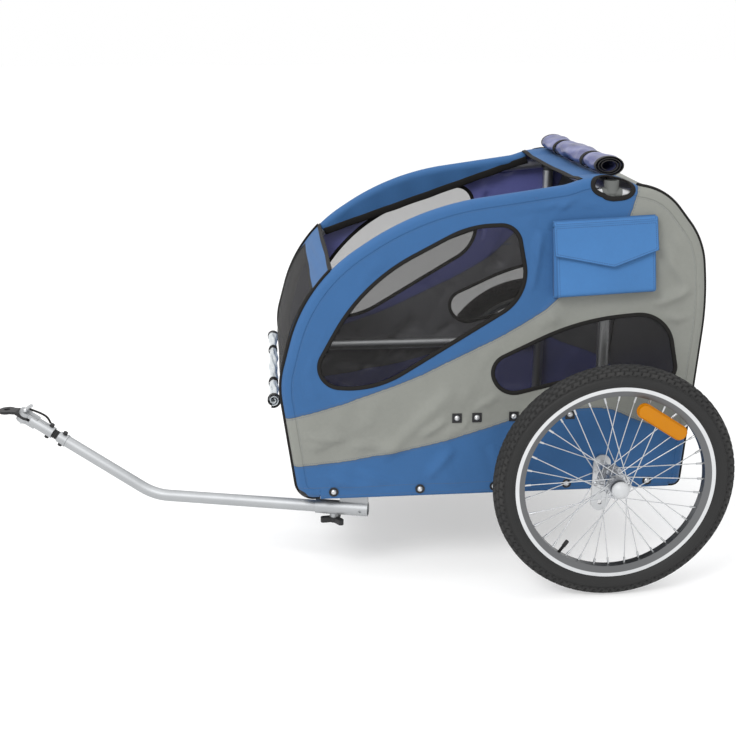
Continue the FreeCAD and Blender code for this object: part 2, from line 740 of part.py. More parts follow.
def rear_hoop():
    """Tube from the connector down to the rear corner."""
    inner = TUBE_LINE[CONNECTOR_CORNER + 1:-1]
    points = [CONNECTOR + TOP_BACK * CONNECTOR_REACH] + inner + [TUBE_LINE[-1] + REAR_UP * CORNER_REACH]
    path = [in_depth(point) for point in points]
    return placed(tube(path, TUBE_RADII[CONNECTOR_CORNER + 1:-1]), LEFT)


def side_post():
    """Post from the connector down to the rail, over the axle."""
    start = TOP_CORNER - Z_AXIS * CONNECTOR_REACH
    end = Vector(CONNECTOR_X, SIDE_DEPTH, SIDE_DEPTH + TUBE_RADIUS + FIT_GAP)
    return placed(tube([start, end]), LEFT)


def side_stay():
    """Level tube between the front hoop and the post, which the square washers bolt to."""
    rise = (STAY_HEIGHT - TUBE_LINE[0].z) / (TUBE_LINE[1].z - TUBE_LINE[0].z)
    hoop_x = TUBE_LINE[0].x + (TUBE_LINE[1].x - TUBE_LINE[0].x) * rise
    slope = X_AXIS.getAngle(FRONT_UP) - math.pi / 2
    room = TUBE_RADIUS / math.cos(slope) + TUBE_RADIUS * math.tan(slope) + FIT_GAP
    start = Vector(hoop_x + room, SIDE_DEPTH, STAY_HEIGHT)
    end = Vector(CONNECTOR_X - TUBE_RADIUS - FIT_GAP, SIDE_DEPTH, STAY_HEIGHT)
    return placed(tube([start, end]), LEFT)


def cross_tube(corner, reach):
    """Tube straight across the trailer between two fittings."""
    return tube([corner + Y_AXIS * reach, Vector(corner.x, -corner.y - reach, corner.z)])


def axle_beam():
    """Tube across the trailer under the floor, between the rails at the axle."""
    end = Vector(0, FRONT_BASE.y + TUBE_RADIUS + FIT_GAP, FRONT_BASE.z)
    return tube([end, Vector(0, -end.y, end.z)])


def base_corner(corner, along, up):
    """Three-way fitting for the rail, a cross tube and the foot of a hoop."""
    lean_up = LEFT.Rotation.multVec(up)
    arms = ((along, CORNER_REACH), (Y_AXIS, CORNER_REACH), (lean_up, CORNER_REACH))
    return joined(fitting(corner, arms))


def top_connector():
    """Five-way fitting at the top with an upward open socket."""
    turn = LEFT.Rotation
    arms = (
        (turn.multVec(TOP_FORWARD), CONNECTOR_REACH),
        (turn.multVec(TOP_BACK), CONNECTOR_REACH),
        (turn.multVec(-Z_AXIS), CONNECTOR_REACH),
        (Y_AXIS, CONNECTOR_REACH),
    )
    mouth = TOP_BASE + Z_AXIS * SOCKET_RISE
    solid = joined(fitting(TOP_BASE, arms) + [rod(TOP_BASE, mouth, SOCKET_RADIUS)])
    return solid.cut(rod(mouth - Z_AXIS * SOCKET_DEPTH, mouth + Z_AXIS * CUT_OVERRUN, SOCKET_BORE_RADIUS))


def floor_board():
    """Stiff floor that lies on the cross tubes and the axle beam."""
    half = -FRONT_BASE.y - TUBE_RADIUS - FLOOR_SIDE_SPACE
    low = FRONT_BASE.z + TUBE_RADIUS + FIT_GAP
    return block(
        Vector(FRONT_BASE.x, -half, low), Vector(REAR_BASE.x, half, low + FLOOR_THICKNESS)
    )


# Cover


def port_cut():
    """Oval cutter through the left shoulder, where the connector's socket shows."""
    tilt = math.radians(PORT_TILT)
    outward = Vector(0, -math.cos(tilt), math.sin(tilt))
    upward = Vector(0, math.sin(tilt), math.cos(tilt))
    crest = left_point(Vector(CONNECTOR_X, 0, BODY_HEIGHT))
    centre = crest - upward * PORT_SHIFT
    oval = Part.Ellipse(
        centre + X_AXIS * (PORT_LENGTH / 2), centre + upward * (PORT_HEIGHT / 2), centre
    )
    face = Part.Face(Part.Wire(oval.toShape()))
    face.translate(outward * -PORT_HEIGHT)
    return face.extrude(outward * (2 * PORT_HEIGHT))


def window_points(shares):
    """A window's corners and rounding radii."""
    points = side_points(shares)
    return points, corner_radii(points, shares)


def bolt_row():
    """Places of the bolts along the rail and along the stay, on the cover's face."""
    first = TUBE_LINE[0].x + BOLT_END_SPACE
    last = TUBE_LINE[-1].x - BOLT_END_SPACE
    rail = [Vector(first + share * (last - first), 0, SIDE_DEPTH) for share in BOLT_ROW_SHARES]
    stay = [Vector(share * BODY_LENGTH - BODY_FRONT, 0, STAY_HEIGHT) for share in STAY_BOLT_SHARES]
    return rail, stay


def bolt_drills():
    """Holes for the left side's bolts, through the cover and into the tubes."""
    rail, stay = bolt_row()
    drills = [
        placed(rod(at - Y_AXIS * CUT_OVERRUN, at + Y_AXIS * SIDE_DEPTH, BOLT_RADIUS + BOLT_HOLE_GAP), LEFT)
        for at in rail + stay
    ]
    for at in bracket_bolt_places():
        end = Vector(at.x, FRONT_BASE.y, at.z)
        drills.append(rod(at, end, BOLT_RADIUS + BOLT_HOLE_GAP))
    return Part.makeCompound(drills)


def side_cover():
    """Side of the sewn cover with its two window openings and the port."""
    sheet = rounded_face(OUTLINE, OUTLINE_RADII).extrude(Y_AXIS * COVER_THICKNESS)
    for shares in (LARGE_WINDOW_SHARES, SMALL_WINDOW_SHARES):
        opening = rounded_face(*window_points(shares))
        opening.translate(Y_AXIS * -CUT_OVERRUN)
        sheet = sheet.cut(opening.extrude(Y_AXIS * (2 * CUT_OVERRUN)))
    return placed(sheet, LEFT).cut(port_cut())


def side_window(shares):
    """Tinted panel that fills a window opening."""
    face = rounded_face(*inset(*window_points(shares), FIT_GAP))
    return placed(face.extrude(Y_AXIS * WINDOW_THICKNESS), LEFT)


def upright(points):
    """The side's outline points in an upright plane of the trailer's frame."""
    return [Vector(point.x, 0, BODY_BOTTOM + point.z * LEAN_RISE) for point in points]


def between_sides(depth):
    """The space between the two leaning sides, a depth inside their outer faces."""
    low = left_point(Vector(0, depth, -CUT_OVERRUN))
    high = left_point(Vector(0, depth, BODY_HEIGHT + CUT_OVERRUN))
    corners = [low, high, Vector(0, -high.y, high.z), Vector(0, -low.y, low.z)]
    face = Part.Face(Part.makePolygon(corners + corners[:1]))
    face.translate(X_AXIS * (-BODY_FRONT - CUT_OVERRUN))
    return face.extrude(X_AXIS * (BODY_LENGTH + 2 * CUT_OVERRUN))


def body_skin(thickness):
    """The cover's skin all round the body, between the two sides."""
    outer = rounded_face(upright(OUTLINE), OUTLINE_RADII)
    points, radii = inset(OUTLINE, OUTLINE_RADII, thickness)
    ring = outer.cut(rounded_face(upright(points), radii))
    ring.translate(Y_AXIS * (-BODY_WIDTH / 2))
    return ring.extrude(Y_AXIS * BODY_WIDTH).common(between_sides(COVER_THICKNESS + FIT_GAP))


def body_slice(front, rear, low, high):
    """A box across the whole body between two places along it and two heights."""
    half = BODY_WIDTH / 2 + CUT_OVERRUN
    return block(Vector(front, -half, low), Vector(rear, half, high))


FRONT_LIMIT = -BODY_FRONT - CUT_OVERRUN
REAR_LIMIT = BODY_LENGTH - BODY_FRONT + CUT_OVERRUN
TOP_LIMIT = BODY_BOTTOM + BODY_HEIGHT + CUT_OVERRUN
FOOT_LIMIT = FRONT_BASE.z
OPENING_REAR = Vector(
    OPENING_REAR_SHARES[0] * BODY_LENGTH - BODY_FRONT, 0, OPENING_REAR_SHARES[1] * BODY_HEIGHT
)
OPENING_FRONT = Vector(
    OPENING_FRONT_SHARES[0] * BODY_LENGTH - BODY_FRONT, 0, OPENING_FRONT_SHARES[1] * BODY_HEIGHT
)
MESH_TOP = BODY_BOTTOM + OPENING_FRONT.z * LEAN_RISE
MESH_BOTTOM = BODY_BOTTOM + MESH_BOTTOM_SHARE * BODY_HEIGHT


def front_panel():
    """Lower front of the cover."""
    return body_skin(COVER_THICKNESS).common(
        body_slice(FRONT_LIMIT, -BODY_FRONT / 2, FOOT_LIMIT, MESH_BOTTOM)
    )


def front_mesh():
    """Mesh panel above the front panel, up to the opening."""
    return body_skin(WINDOW_THICKNESS).common(
        body_slice(FRONT_LIMIT, -BODY_FRONT / 2, MESH_BOTTOM + FIT_GAP, MESH_TOP)
    )


def rear_panel():
    """Back of the cover, from the rear edge of the top opening down to the rail."""
    panel = body_skin(COVER_THICKNESS).common(
        body_slice(OPENING_REAR.x, REAR_LIMIT, FOOT_LIMIT, TOP_LIMIT)
    )
    return panel.cut(port_cut()).cut(mirrored(port_cut()))


def opening_edge():
    """Cover that folds over the left hoop and hangs inside down to a straight hem."""
    cap_in = SIDE_DEPTH + TUBE_RADIUS + FIT_GAP + COVER_THICKNESS
    half_space = between_sides(cap_in)
    cap = body_skin(COVER_THICKNESS).cut(half_space).common(
        body_slice(FRONT_LIMIT, OPENING_REAR.x - FIT_GAP, MESH_TOP + FIT_GAP, TOP_LIMIT)
    )
    left_half = block(
        Vector(FRONT_LIMIT, -BODY_WIDTH, 0), Vector(REAR_LIMIT, 0, TOP_LIMIT)
    )
    ahead = (OPENING_FRONT - OPENING_REAR).normalize() * BODY_LENGTH
    above = Vector(0, 0, BODY_HEIGHT)
    corners = [OPENING_REAR, OPENING_REAR + ahead, OPENING_REAR + ahead + above, OPENING_REAR + above]
    lens = rounded_face(*inset(OUTLINE, OUTLINE_RADII, COVER_THICKNESS / 2))
    lens = lens.common(Part.Face(Part.makePolygon(corners + corners[:1])))
    flap = lens.extrude(Y_AXIS * COVER_THICKNESS)
    flap.translate(Y_AXIS * (cap_in - COVER_THICKNESS))
    flap = placed(flap, LEFT).common(
        body_slice(FRONT_LIMIT, OPENING_REAR.x - FIT_GAP, MESH_TOP + FIT_GAP, TOP_LIMIT)
    )
    return joined([cap.common(left_half), flap])


# Pockets: in the side's frame, turned to follow the seam


POCKET = LEFT.multiply(
    FreeCAD.Placement(Vector(POCKET_X, 0, POCKET_BASE), FreeCAD.Rotation(Y_AXIS, -POCKET_TILT))
)
POCKET_SLOPE = math.atan((POCKET_DEPTH - POCKET_MOUTH) / POCKET_HEIGHT)
FLAP_OUT = POCKET_MOUTH + FIT_GAP - POCKET_HEADER_RISE * math.tan(POCKET_SLOPE)
FLAP_TOP = POCKET_HEIGHT + POCKET_HEADER_RISE
FLAP_HINGE = Vector(0, -POCKET_WALL - 2 * FIT_GAP, FLAP_TOP)


def pocket():
    """Bag that is open at the top, and the sewn header that its flap folds from."""
    half = POCKET_LENGTH / 2
    outer = [
        Vector(-half, -FIT_GAP, 0), Vector(-half, -POCKET_DEPTH, 0),
        Vector(-half, -POCKET_MOUTH, POCKET_HEIGHT), Vector(-half, -FIT_GAP, POCKET_HEIGHT),
    ]
    bag = Part.Face(Part.makePolygon(outer + outer[:1])).extrude(X_AXIS * POCKET_LENGTH)
    bottom = [edge for edge in bag.Edges if edge.BoundBox.YMax < -POCKET_MOUTH - FIT_GAP]
    bag = bag.makeFillet(POCKET_WALL * 2, bottom)
    inner_half = half - POCKET_WALL
    rise = CUT_OVERRUN
    spread = rise * math.tan(POCKET_SLOPE)
    inner = [
        Vector(-inner_half, CUT_OVERRUN, POCKET_WALL),
        Vector(-inner_half, POCKET_WALL - POCKET_DEPTH, POCKET_WALL),
        Vector(-inner_half, POCKET_WALL - POCKET_MOUTH + spread, POCKET_HEIGHT + rise),
        Vector(-inner_half, CUT_OVERRUN, POCKET_HEIGHT + rise),
    ]
    hollow = Part.Face(Part.makePolygon(inner + inner[:1])).extrude(X_AXIS * (2 * inner_half))
    header = block(
        Vector(-half, -FIT_GAP - POCKET_WALL, FLAP_TOP - POCKET_HEADER_HEIGHT),
        Vector(half, -FIT_GAP, FLAP_TOP),
    )
    return [placed(bag.cut(hollow), POCKET), placed(header, POCKET)]


def pocket_flap():
    """Flap that folds over the pocket's mouth and front, with a pointed lower edge."""
    half = POCKET_LENGTH / 2
    tip = (FLAP_TIP_SHARE - 0.5) * POCKET_LENGTH
    corners = [
        Vector(-half, 0, 0), Vector(half, 0, 0), Vector(half, 0, -FLAP_SIDE_DROP),
        Vector(tip, 0, -FLAP_TIP_DROP), Vector(-half, 0, -FLAP_SIDE_DROP),
    ]
    leaf = Part.Face(Part.makePolygon(corners + corners[:1])).extrude(Y_AXIS * -FLAP_THICKNESS)
    hang = FreeCAD.Placement(
        Vector(0, -FLAP_OUT - FIT_GAP, FLAP_TOP),
        FreeCAD.Rotation(X_AXIS, -math.degrees(POCKET_SLOPE)),
    )
    lid = block(
        Vector(-half, -FLAP_OUT - FIT_GAP - FLAP_THICKNESS / 2, FLAP_TOP - FLAP_THICKNESS),
        FLAP_HINGE + X_AXIS * half,
    )
    return placed(joined([placed(leaf, hang), lid]), POCKET)


# Rolled covers


def rolled_sheet(radius, sheet, gap, half_turns, length):
    """A sheet rolled up: half circles that step inward, drawn out along Y."""
    step = (sheet + gap) / 2
    outer = []
    inner = []
    at = radius
    way = 1
    for turn in range(half_turns):
        now = radius - turn * step
        centre = at - way * now
        thin = now - sheet
        outer.append(Part.Arc(
            Vector(at, 0, 0), Vector(centre, 0, way * now), Vector(centre - way * now, 0, 0)
        ).toShape())
        inner.append(Part.Arc(
            Vector(centre + way * thin, 0, 0), Vector(centre, 0, way * thin), Vector(centre - way * thin, 0, 0)
        ).toShape())
        at = centre - way * now
        way = -way
    start = Part.makeLine(outer[0].Vertexes[0].Point, inner[0].Vertexes[0].Point)
    end = Part.makeLine(outer[-1].Vertexes[-1].Point, inner[-1].Vertexes[-1].Point)
    face = Part.Face(Part.Wire(Part.__sortEdges__([start, end] + outer + inner)))
    face.translate(Y_AXIS * (-length / 2))
    return face.extrude(Y_AXIS * length)


def on_outline(corner, x):
    """Point and outward direction on the outline's straight edge after a corner, at x."""
    start, end = upright(OUTLINE[corner:corner + 2])
    along = (end - start).normalize()
    point = start + (end - start) * ((x - start.x) / (end.x - start.x))
    return point, Vector(-along.z, 0, along.x)


def roll_seats():
    """Centres of the top and the front roll, which lie on the cover by their straps."""
    lift = STRAP_THICKNESS + 2 * FIT_GAP
    point, out = on_outline(CONNECTOR_CORNER, CONNECTOR_X + TOP_ROLL_BACK)
    top = point + out * (TOP_ROLL_RADIUS + lift)
    foot, knee = OUTLINE[0], OUTLINE[1]
    x = foot.x + (knee.x - foot.x) * FRONT_ROLL_HEIGHT / (knee.z - foot.z)
    point, out = on_outline(0, x)
    front = point + out * (FRONT_ROLL_RADIUS + lift)
    return top, front


def roll_straps():
    """Two strap loops round each roll."""
    top, front = roll_seats()
    rings = []
    sizes = ((top, TOP_ROLL_RADIUS, TOP_ROLL_LENGTH), (front, FRONT_ROLL_RADIUS, FRONT_ROLL_LENGTH))
    for centre, radius, length in sizes:
        for side in (-1, 1):
            middle = centre + Y_AXIS * (side * length * STRAP_SPREAD_SHARE / 2)
            start = middle - Y_AXIS * (STRAP_WIDTH / 2)
            end = middle + Y_AXIS * (STRAP_WIDTH / 2)
            bore = radius + FIT_GAP
            ring = rod(start, end, bore + STRAP_THICKNESS).cut(rod(start, end, bore))
            rings.append(ring)
    return rings


def rear_lamp():
    """Left rear reflector, a rounded block on the rear panel."""
    low, high = OUTLINE[-1], OUTLINE[-2]
    x = low.x + (high.x - low.x) * LAMP_UP / (high.z - low.z)
    point, out = on_outline(len(OUTLINE) - 2, x)
    along = Vector(-out.z, 0, out.x)
    edge = left_point(Vector(0, COVER_THICKNESS, LAMP_UP)).y + LAMP_INSET
    frame = FreeCAD.Placement(
        point + out * FIT_GAP + Y_AXIS * (edge + LAMP_WIDTH / 2),
        FreeCAD.Rotation(out, Y_AXIS, along, "XYZ"),
    )
    body = block(
        Vector(0, -LAMP_WIDTH / 2, -LAMP_HEIGHT / 2), Vector(LAMP_THICKNESS, LAMP_WIDTH / 2, LAMP_HEIGHT / 2)
    )
    sides = [edge for edge in body.Edges if edge.BoundBox.XLength > LAMP_THICKNESS / 2]
    return placed(body.makeFillet(LAMP_ROUND, sides), frame)


# Bolts


def bolt(at, seat, end):
    """Dome-headed bolt along Y: its head stands out from a seat, its shank ends inside."""
    base = at - Y_AXIS * seat
    crown = dome_arc(BOLT_HEAD_RADIUS, 0, BOLT_HEAD_HEIGHT)
    rest = Part.makePolygon([
        Vector(0, -BOLT_HEAD_HEIGHT, 0), Vector(0, seat + end, 0), Vector(BOLT_RADIUS, seat + end, 0),
        Vector(BOLT_RADIUS, 0, 0), Vector(BOLT_HEAD_RADIUS, 0, 0),
    ])
    solid = Part.Face(Part.Wire([crown] + rest.Edges)).revolve(ORIGIN, Y_AXIS, 360)
    solid.translate(base)
    return solid


def saddle_bolt_places():
    """Where the receiver's two bolts meet the rail from below."""
    middle = saddle_middle()
    half = SADDLE_BOLT_SPACING / 2
    return [middle + X_AXIS * (side * half) for side in (-1, 1)]


def frame_bolts():
    """All bolts of the left side: rail row, stay row and axle bracket."""
    rail, stay = bolt_row()
    seat = WASHER_THICKNESS + FIT_GAP
    solids = [placed(bolt(at, seat, SIDE_DEPTH), LEFT) for at in rail + stay]
    for at in bracket_bolt_places():
        solids.append(bolt(at, 0, FRONT_BASE.y - at.y))
    return solids


def receiver_bolts():
    """Two bolts that hold the tow receiver up against the left rail."""
    down = FreeCAD.Rotation(X_AXIS, 90)
    solids = []
    for at in saddle_bolt_places():
        depth = TUBE_RADIUS + FIT_GAP + SADDLE_THICKNESS
        solids.append(placed(bolt(ORIGIN, 0, depth), FreeCAD.Placement(at - Z_AXIS * depth, down)))
    return solids


def bolt_washers():
    """Round washers along the left rail and square ones along the left stay."""
    rail, stay = bolt_row()
    hole = BOLT_RADIUS + BOLT_HOLE_GAP
    lift = Y_AXIS * -FIT_GAP
    out = Y_AXIS * -WASHER_THICKNESS
    half = Vector(STAY_WASHER_WIDTH / 2, 0, STAY_WASHER_WIDTH / 2)
    plates = [rod(at + lift, at + lift + out, WASHER_RADIUS) for at in rail]
    plates += [block(at + lift + out - half, at + lift + half) for at in stay]
    solids = []
    for at, plate in zip(rail + stay, plates):
        drill = rod(at + Y_AXIS * CUT_OVERRUN, at - Y_AXIS * CUT_OVERRUN, hole)
        solids.append(placed(plate.cut(drill), LEFT))
    return solids


# Tow bar, receiver and coupler


def saddle_middle():
    """The rail's centre line above the receiver's web."""
    back = SLEEVE_BEHIND - WEB_LENGTH / 2
    over = TOW.multVec(Vector(-back, 0, 0))
    return Vector(over.x, FRONT_BASE.y, FRONT_BASE.z)


def tow_receiver():
    """Sleeve for the tow tube with a web and a saddle that hang it from the left rail."""
    axis_start = Vector(-SLEEVE_BEHIND, 0, TOW_HEIGHT)
    axis_end = Vector(SLEEVE_AHEAD, 0, TOW_HEIGHT)
    web = block(
        Vector(-SLEEVE_BEHIND, -WEB_THICKNESS / 2, TOW_HEIGHT),
        Vector(WEB_LENGTH - SLEEVE_BEHIND, WEB_THICKNESS / 2, FRONT_BASE.z),
    )
    knob_at = Vector(-KNOB_BACK, 0, TOW_HEIGHT)
    boss = rod(knob_at, knob_at - Z_AXIS * (SLEEVE_RADIUS + KNOB_BOSS_DROP), KNOB_BOSS_RADIUS)
    holder = joined([rod(axis_start, axis_end, SLEEVE_RADIUS), web, boss])
    holder = placed(holder, TOW)
    middle = saddle_middle()
    half = X_AXIS * (SADDLE_LENGTH / 2)
    seat = TUBE_RADIUS + FIT_GAP
    saddle = rod(middle - half, middle + half, seat + SADDLE_THICKNESS)
    saddle = saddle.common(block(
        middle - half - Vector(0, SADDLE_WIDTH / 2, seat + SADDLE_THICKNESS),
        middle + half + Vector(0, SADDLE_WIDTH / 2, -TUBE_RADIUS / 2),
    ))
    solid = joined([holder, saddle])
    long_half = X_AXIS * BODY_LENGTH
    cuts = [
        rod(middle - long_half, middle + long_half, seat),
        placed(rod(axis_start - X_AXIS * CUT_OVERRUN, axis_end + X_AXIS * CUT_OVERRUN, SLEEVE_BORE), TOW),
        placed(rod(knob_at, knob_at - Z_AXIS * TOW_HEIGHT, KNOB_SCREW_RADIUS + RUN_GAP), TOW),
    ]
    pin = Vector(-SLEEVE_PIN_HOLE_BACK, 0, TOW_HEIGHT)
    across = Y_AXIS * (SLEEVE_RADIUS + CUT_OVERRUN)
    cuts.append(placed(rod(pin, pin + across, SLEEVE_PIN_HOLE_RADIUS), TOW))
    for at in saddle_bolt_places():
        reach = seat + SADDLE_THICKNESS + BOLT_HEAD_HEIGHT + FIT_GAP
        cuts.append(rod(at, at - Z_AXIS * reach, BOLT_RADIUS + BOLT_HOLE_GAP))
        head = at - Z_AXIS * (seat + SADDLE_THICKNESS)
        cuts.append(rod(head, head - Z_AXIS * (BOLT_HEAD_HEIGHT + FIT_GAP), BOLT_HEAD_RADIUS + FIT_GAP))
    return solid.cut(Part.makeCompound(cuts))


def clamp_knob():
    """Three-armed knob with the screw that presses on the tow tube from below."""
    centre = Vector(-KNOB_BACK, 0, 0)
    tip = centre + Z_AXIS * (TOW_HEIGHT - TOW_RADIUS - FIT_GAP)
    top = centre + Z_AXIS * (TOW_HEIGHT - SLEEVE_RADIUS - KNOB_BOSS_DROP - FIT_GAP)
    low = top - Z_AXIS * KNOB_THICKNESS
    pieces = [rod(tip, low, KNOB_SCREW_RADIUS), rod(top, low, KNOB_HUB_RADIUS)]
    for arm in range(KNOB_ARMS):
        angle = math.radians(KNOB_TURN + arm * 360 / KNOB_ARMS)
        way = Vector(math.cos(angle), math.sin(angle), 0)
        end = top + way * KNOB_ARM_REACH
        across = Vector(-way.y, way.x, 0) * KNOB_ARM_RADIUS
        drop = Z_AXIS * -KNOB_THICKNESS
        side = Part.Face(Part.makePolygon([
            top - across, end - across, end + across, top + across, top - across,
        ]))
        pieces.append(side.extrude(drop))
        pieces.append(rod(end, end + drop, KNOB_ARM_RADIUS))
    return placed(joined(pieces), TOW)


def tow_tube():
    """Tow tube: level under the body, then one bend up to the coupler."""
    points = [
        Vector(-TOW_INSERT, 0, TOW_HEIGHT), Vector(TOW_LEVEL_RUN, 0, TOW_HEIGHT), TOW_END,
    ]
    outer = bent_rod(points, [TOW_BEND_RADIUS], TOW_RADIUS)
    inner = bent_rod(points, [TOW_BEND_RADIUS], TOW_RADIUS - TOW_WALL)
    collar_end = X_AXIS * -(COUPLER_BOLT_BACK + COUPLER_NUT_RADIUS + TOW_COLLAR_SPACE)
    collar = placed(rod(collar_end - X_AXIS * TOW_COLLAR_LENGTH, collar_end, TOW_COLLAR_RADIUS), COUPLER)
    solid = joined([placed(outer, TOW), collar]).cut(placed(inner, TOW))
    return solid.cut(placed(coupler_drill(-COUPLER_BOLT_BACK), COUPLER))


def coupler_drill(along):
    """Hole for a coupler bolt, in the coupler's frame."""
    at = X_AXIS * along
    reach = Z_AXIS * (TOW_COLLAR_RADIUS + CUT_OVERRUN)
    return rod(at - reach, at + reach, COUPLER_BOLT_RADIUS + BOLT_HOLE_GAP)


def coupler_bolt(along, radius):
    """Bolt across a tube of the coupler with a round nut at each end."""
    at = X_AXIS * along
    seat = Z_AXIS * (radius + FIT_GAP)
    nut = Z_AXIS * COUPLER_NUT_HEIGHT
    return placed(joined([
        rod(at - seat - nut, at + seat + nut, COUPLER_BOLT_RADIUS),
        rod(at + seat, at + seat + nut, COUPLER_NUT_RADIUS),
        rod(at - seat - nut, at - seat, COUPLER_NUT_RADIUS),
    ]), COUPLER)


def flex_link():
    """Flexible link: a plug in the tow tube, a ribbed neck and a plug in the tongue."""
    plug = TOW_RADIUS - TOW_WALL - SPIGOT_GAP
    far_plug = TONGUE_BORE - SPIGOT_GAP
    gap = FIT_GAP
    pieces = [
        rod(X_AXIS * -LINK_PLUG_LENGTH, ORIGIN, plug),
        rod(ORIGIN, X_AXIS * TONGUE_START, LINK_NECK_RADIUS),
        rod(X_AXIS * TONGUE_START, X_AXIS * (TONGUE_START + LINK_PLUG_LENGTH), far_plug),
    ]
    pitch = LINK_NECK_LENGTH / LINK_NECK_RIBS
    for rib in range(LINK_NECK_RIBS):
        start = rib * pitch + gap
        end = start + pitch / 2
        pieces.append(rod(X_AXIS * start, X_AXIS * end, LINK_NECK_RADIUS + LINK_NECK_RIB))
    solid = joined(pieces)
    for along in (-COUPLER_BOLT_BACK, TONGUE_START + COUPLER_BOLT_BACK):
        solid = solid.cut(coupler_drill(along))
    return placed(solid, COUPLER)


def tongue():
    """Tongue: a tube end for the link at the rear and a clevis for the hitch in front."""
    start = X_AXIS * TONGUE_START
    end = X_AXIS * (TONGUE_START + TONGUE_BODY)
    pin = X_AXIS * PIN_AT
    half = Z_AXIS * TONGUE_RADIUS
    ears = [
        rod(pin - half, pin + half, EAR_RADIUS),
        block(
            end - half - Y_AXIS * (TONGUE_RADIUS * math.sqrt(0.5)) - X_AXIS * EAR_RADIUS,
            pin + half + Y_AXIS * (TONGUE_RADIUS * math.sqrt(0.5)),
        ),
    ]
    solid = joined([rod(start, end, TONGUE_RADIUS)] + ears)
    slot = HITCH_THICKNESS / 2 + HITCH_SLOT_GAP
    reach = EAR_RADIUS + CUT_OVERRUN
    cuts = [
        rod(start - X_AXIS * CUT_OVERRUN, start + X_AXIS * (LINK_PLUG_LENGTH + FIT_GAP), TONGUE_BORE),
        block(end + Vector(0, -reach, -slot), pin + Vector(reach, reach, slot)),
        rod(pin - half * 2, pin + half * 2, PIN_RADIUS + RUN_GAP),
        coupler_drill(TONGUE_START + COUPLER_BOLT_BACK),
    ]
    return placed(solid.cut(Part.makeCompound(cuts)), COUPLER)


def hitch_plate():
    """Hitch: a tail in the clevis, bent level into a plate with the axle hole."""
    pin = X_AXIS * PIN_AT
    half = Z_AXIS * (HITCH_THICKNESS / 2)
    bend = pin + X_AXIS * HITCH_TAIL_REACH
    tail = joined([
        rod(pin - half, pin + half, EAR_RADIUS),
        block(pin - half - Y_AXIS * EAR_RADIUS, bend + half + Y_AXIS * EAR_RADIUS),
        rod(bend - Y_AXIS * EAR_RADIUS, bend + Y_AXIS * EAR_RADIUS, HITCH_THICKNESS / 2),
    ])
    tail = placed(tail, COUPLER)
    level = COUPLER.multVec(bend)
    hole = level + TOW.Rotation.multVec(X_AXIS) * HITCH_PLATE_REACH
    plate = joined([
        rod(hole - half, hole + half, HITCH_END_RADIUS),
        placed(
            block(-half - Y_AXIS * EAR_RADIUS, X_AXIS * HITCH_PLATE_REACH + half + Y_AXIS * EAR_RADIUS),
            FreeCAD.Placement(level, TOW.Rotation),
        ),
    ])
    solid = joined([tail, plate])
    cuts = [
        placed(rod(pin - Z_AXIS * EAR_RADIUS, pin + Z_AXIS * EAR_RADIUS, PIN_RADIUS + RUN_GAP), COUPLER),
        rod(hole - Z_AXIS * EAR_RADIUS, hole + Z_AXIS * EAR_RADIUS, HITCH_AXLE_HOLE_RADIUS),
    ]
    return solid.cut(Part.makeCompound(cuts))


def hitch_pin():
    """Pin through the clevis with a T handle."""
    low = Vector(PIN_AT, 0, -PIN_BELOW)
    top = Vector(PIN_AT, 0, PIN_ABOVE)
    half = Y_AXIS * (PIN_HANDLE_LENGTH / 2)
    tip = Part.makeCone(PIN_RADIUS / 2, PIN_RADIUS, PIN_RADIUS, low - Z_AXIS * PIN_RADIUS)
    return placed(joined([
        tip,
        rod(low, top, PIN_RADIUS),
        rod(top - half, top + half, PIN_HANDLE_RADIUS),
        Part.makeSphere(PIN_HANDLE_RADIUS, top - half),
        Part.makeSphere(PIN_HANDLE_RADIUS, top + half),
    ]), COUPLER)


def pin_strap():
    """Strap from the pin's handle back to the tongue's bolt."""
    bolt_at = TONGUE_START + COUPLER_BOLT_BACK
    start = Vector(PIN_AT - PIN_HANDLE_RADIUS - FIT_GAP, 0, PIN_ABOVE)
    end = Vector(bolt_at + COUPLER_NUT_RADIUS + FIT_GAP, 0, TONGUE_RADIUS + COUPLER_NUT_HEIGHT)
    third = (end - start) / 3
    sag = Z_AXIS * -PIN_STRAP_SAG
    points = [start, start + third + sag / 2, end - third + sag / 2, end]
    bends = []
    for before, at, after in zip(points, points[1:], points[2:]):
        turn = (at - before).getAngle(after - at)
        shorter = min((at - before).Length, (after - at).Length)
        bends.append(STRAP_BEND_SHARE * shorter / math.tan(turn / 2))
    return placed(bent_rod(points, bends, PIN_STRAP_RADIUS), COUPLER)


# The whole trailer


WHEEL_CENTRE = Vector(0, -TRACK / 2, TYRE_RADIUS)


def at_wheel(solids):
    """Wheel pieces moved from their own centre to the left end of the axle."""
    moved = []
    for solid in solids:
        copy = solid.copy()
        copy.translate(WHEEL_CENTRE)
        moved.append(copy)
    return moved


def both(solids):
    """Left-hand solids and their right-hand twins."""
    return solids + [mirrored(solid) for solid in solids]


NODES = {}


def pair(name, solids):
    """A left-hand node and its mirrored right-hand twin."""
    NODES[name + "_left"] = solids
    NODES[name + "_right"] = [mirrored(solid) for solid in solids]


DRILLS = bolt_drills()
SADDLE_DRILLS = Part.makeCompound([
    rod(at, at - Z_AXIS * (TUBE_RADIUS + CUT_OVERRUN), BOLT_RADIUS + BOLT_HOLE_GAP)
    for at in saddle_bolt_places()
])

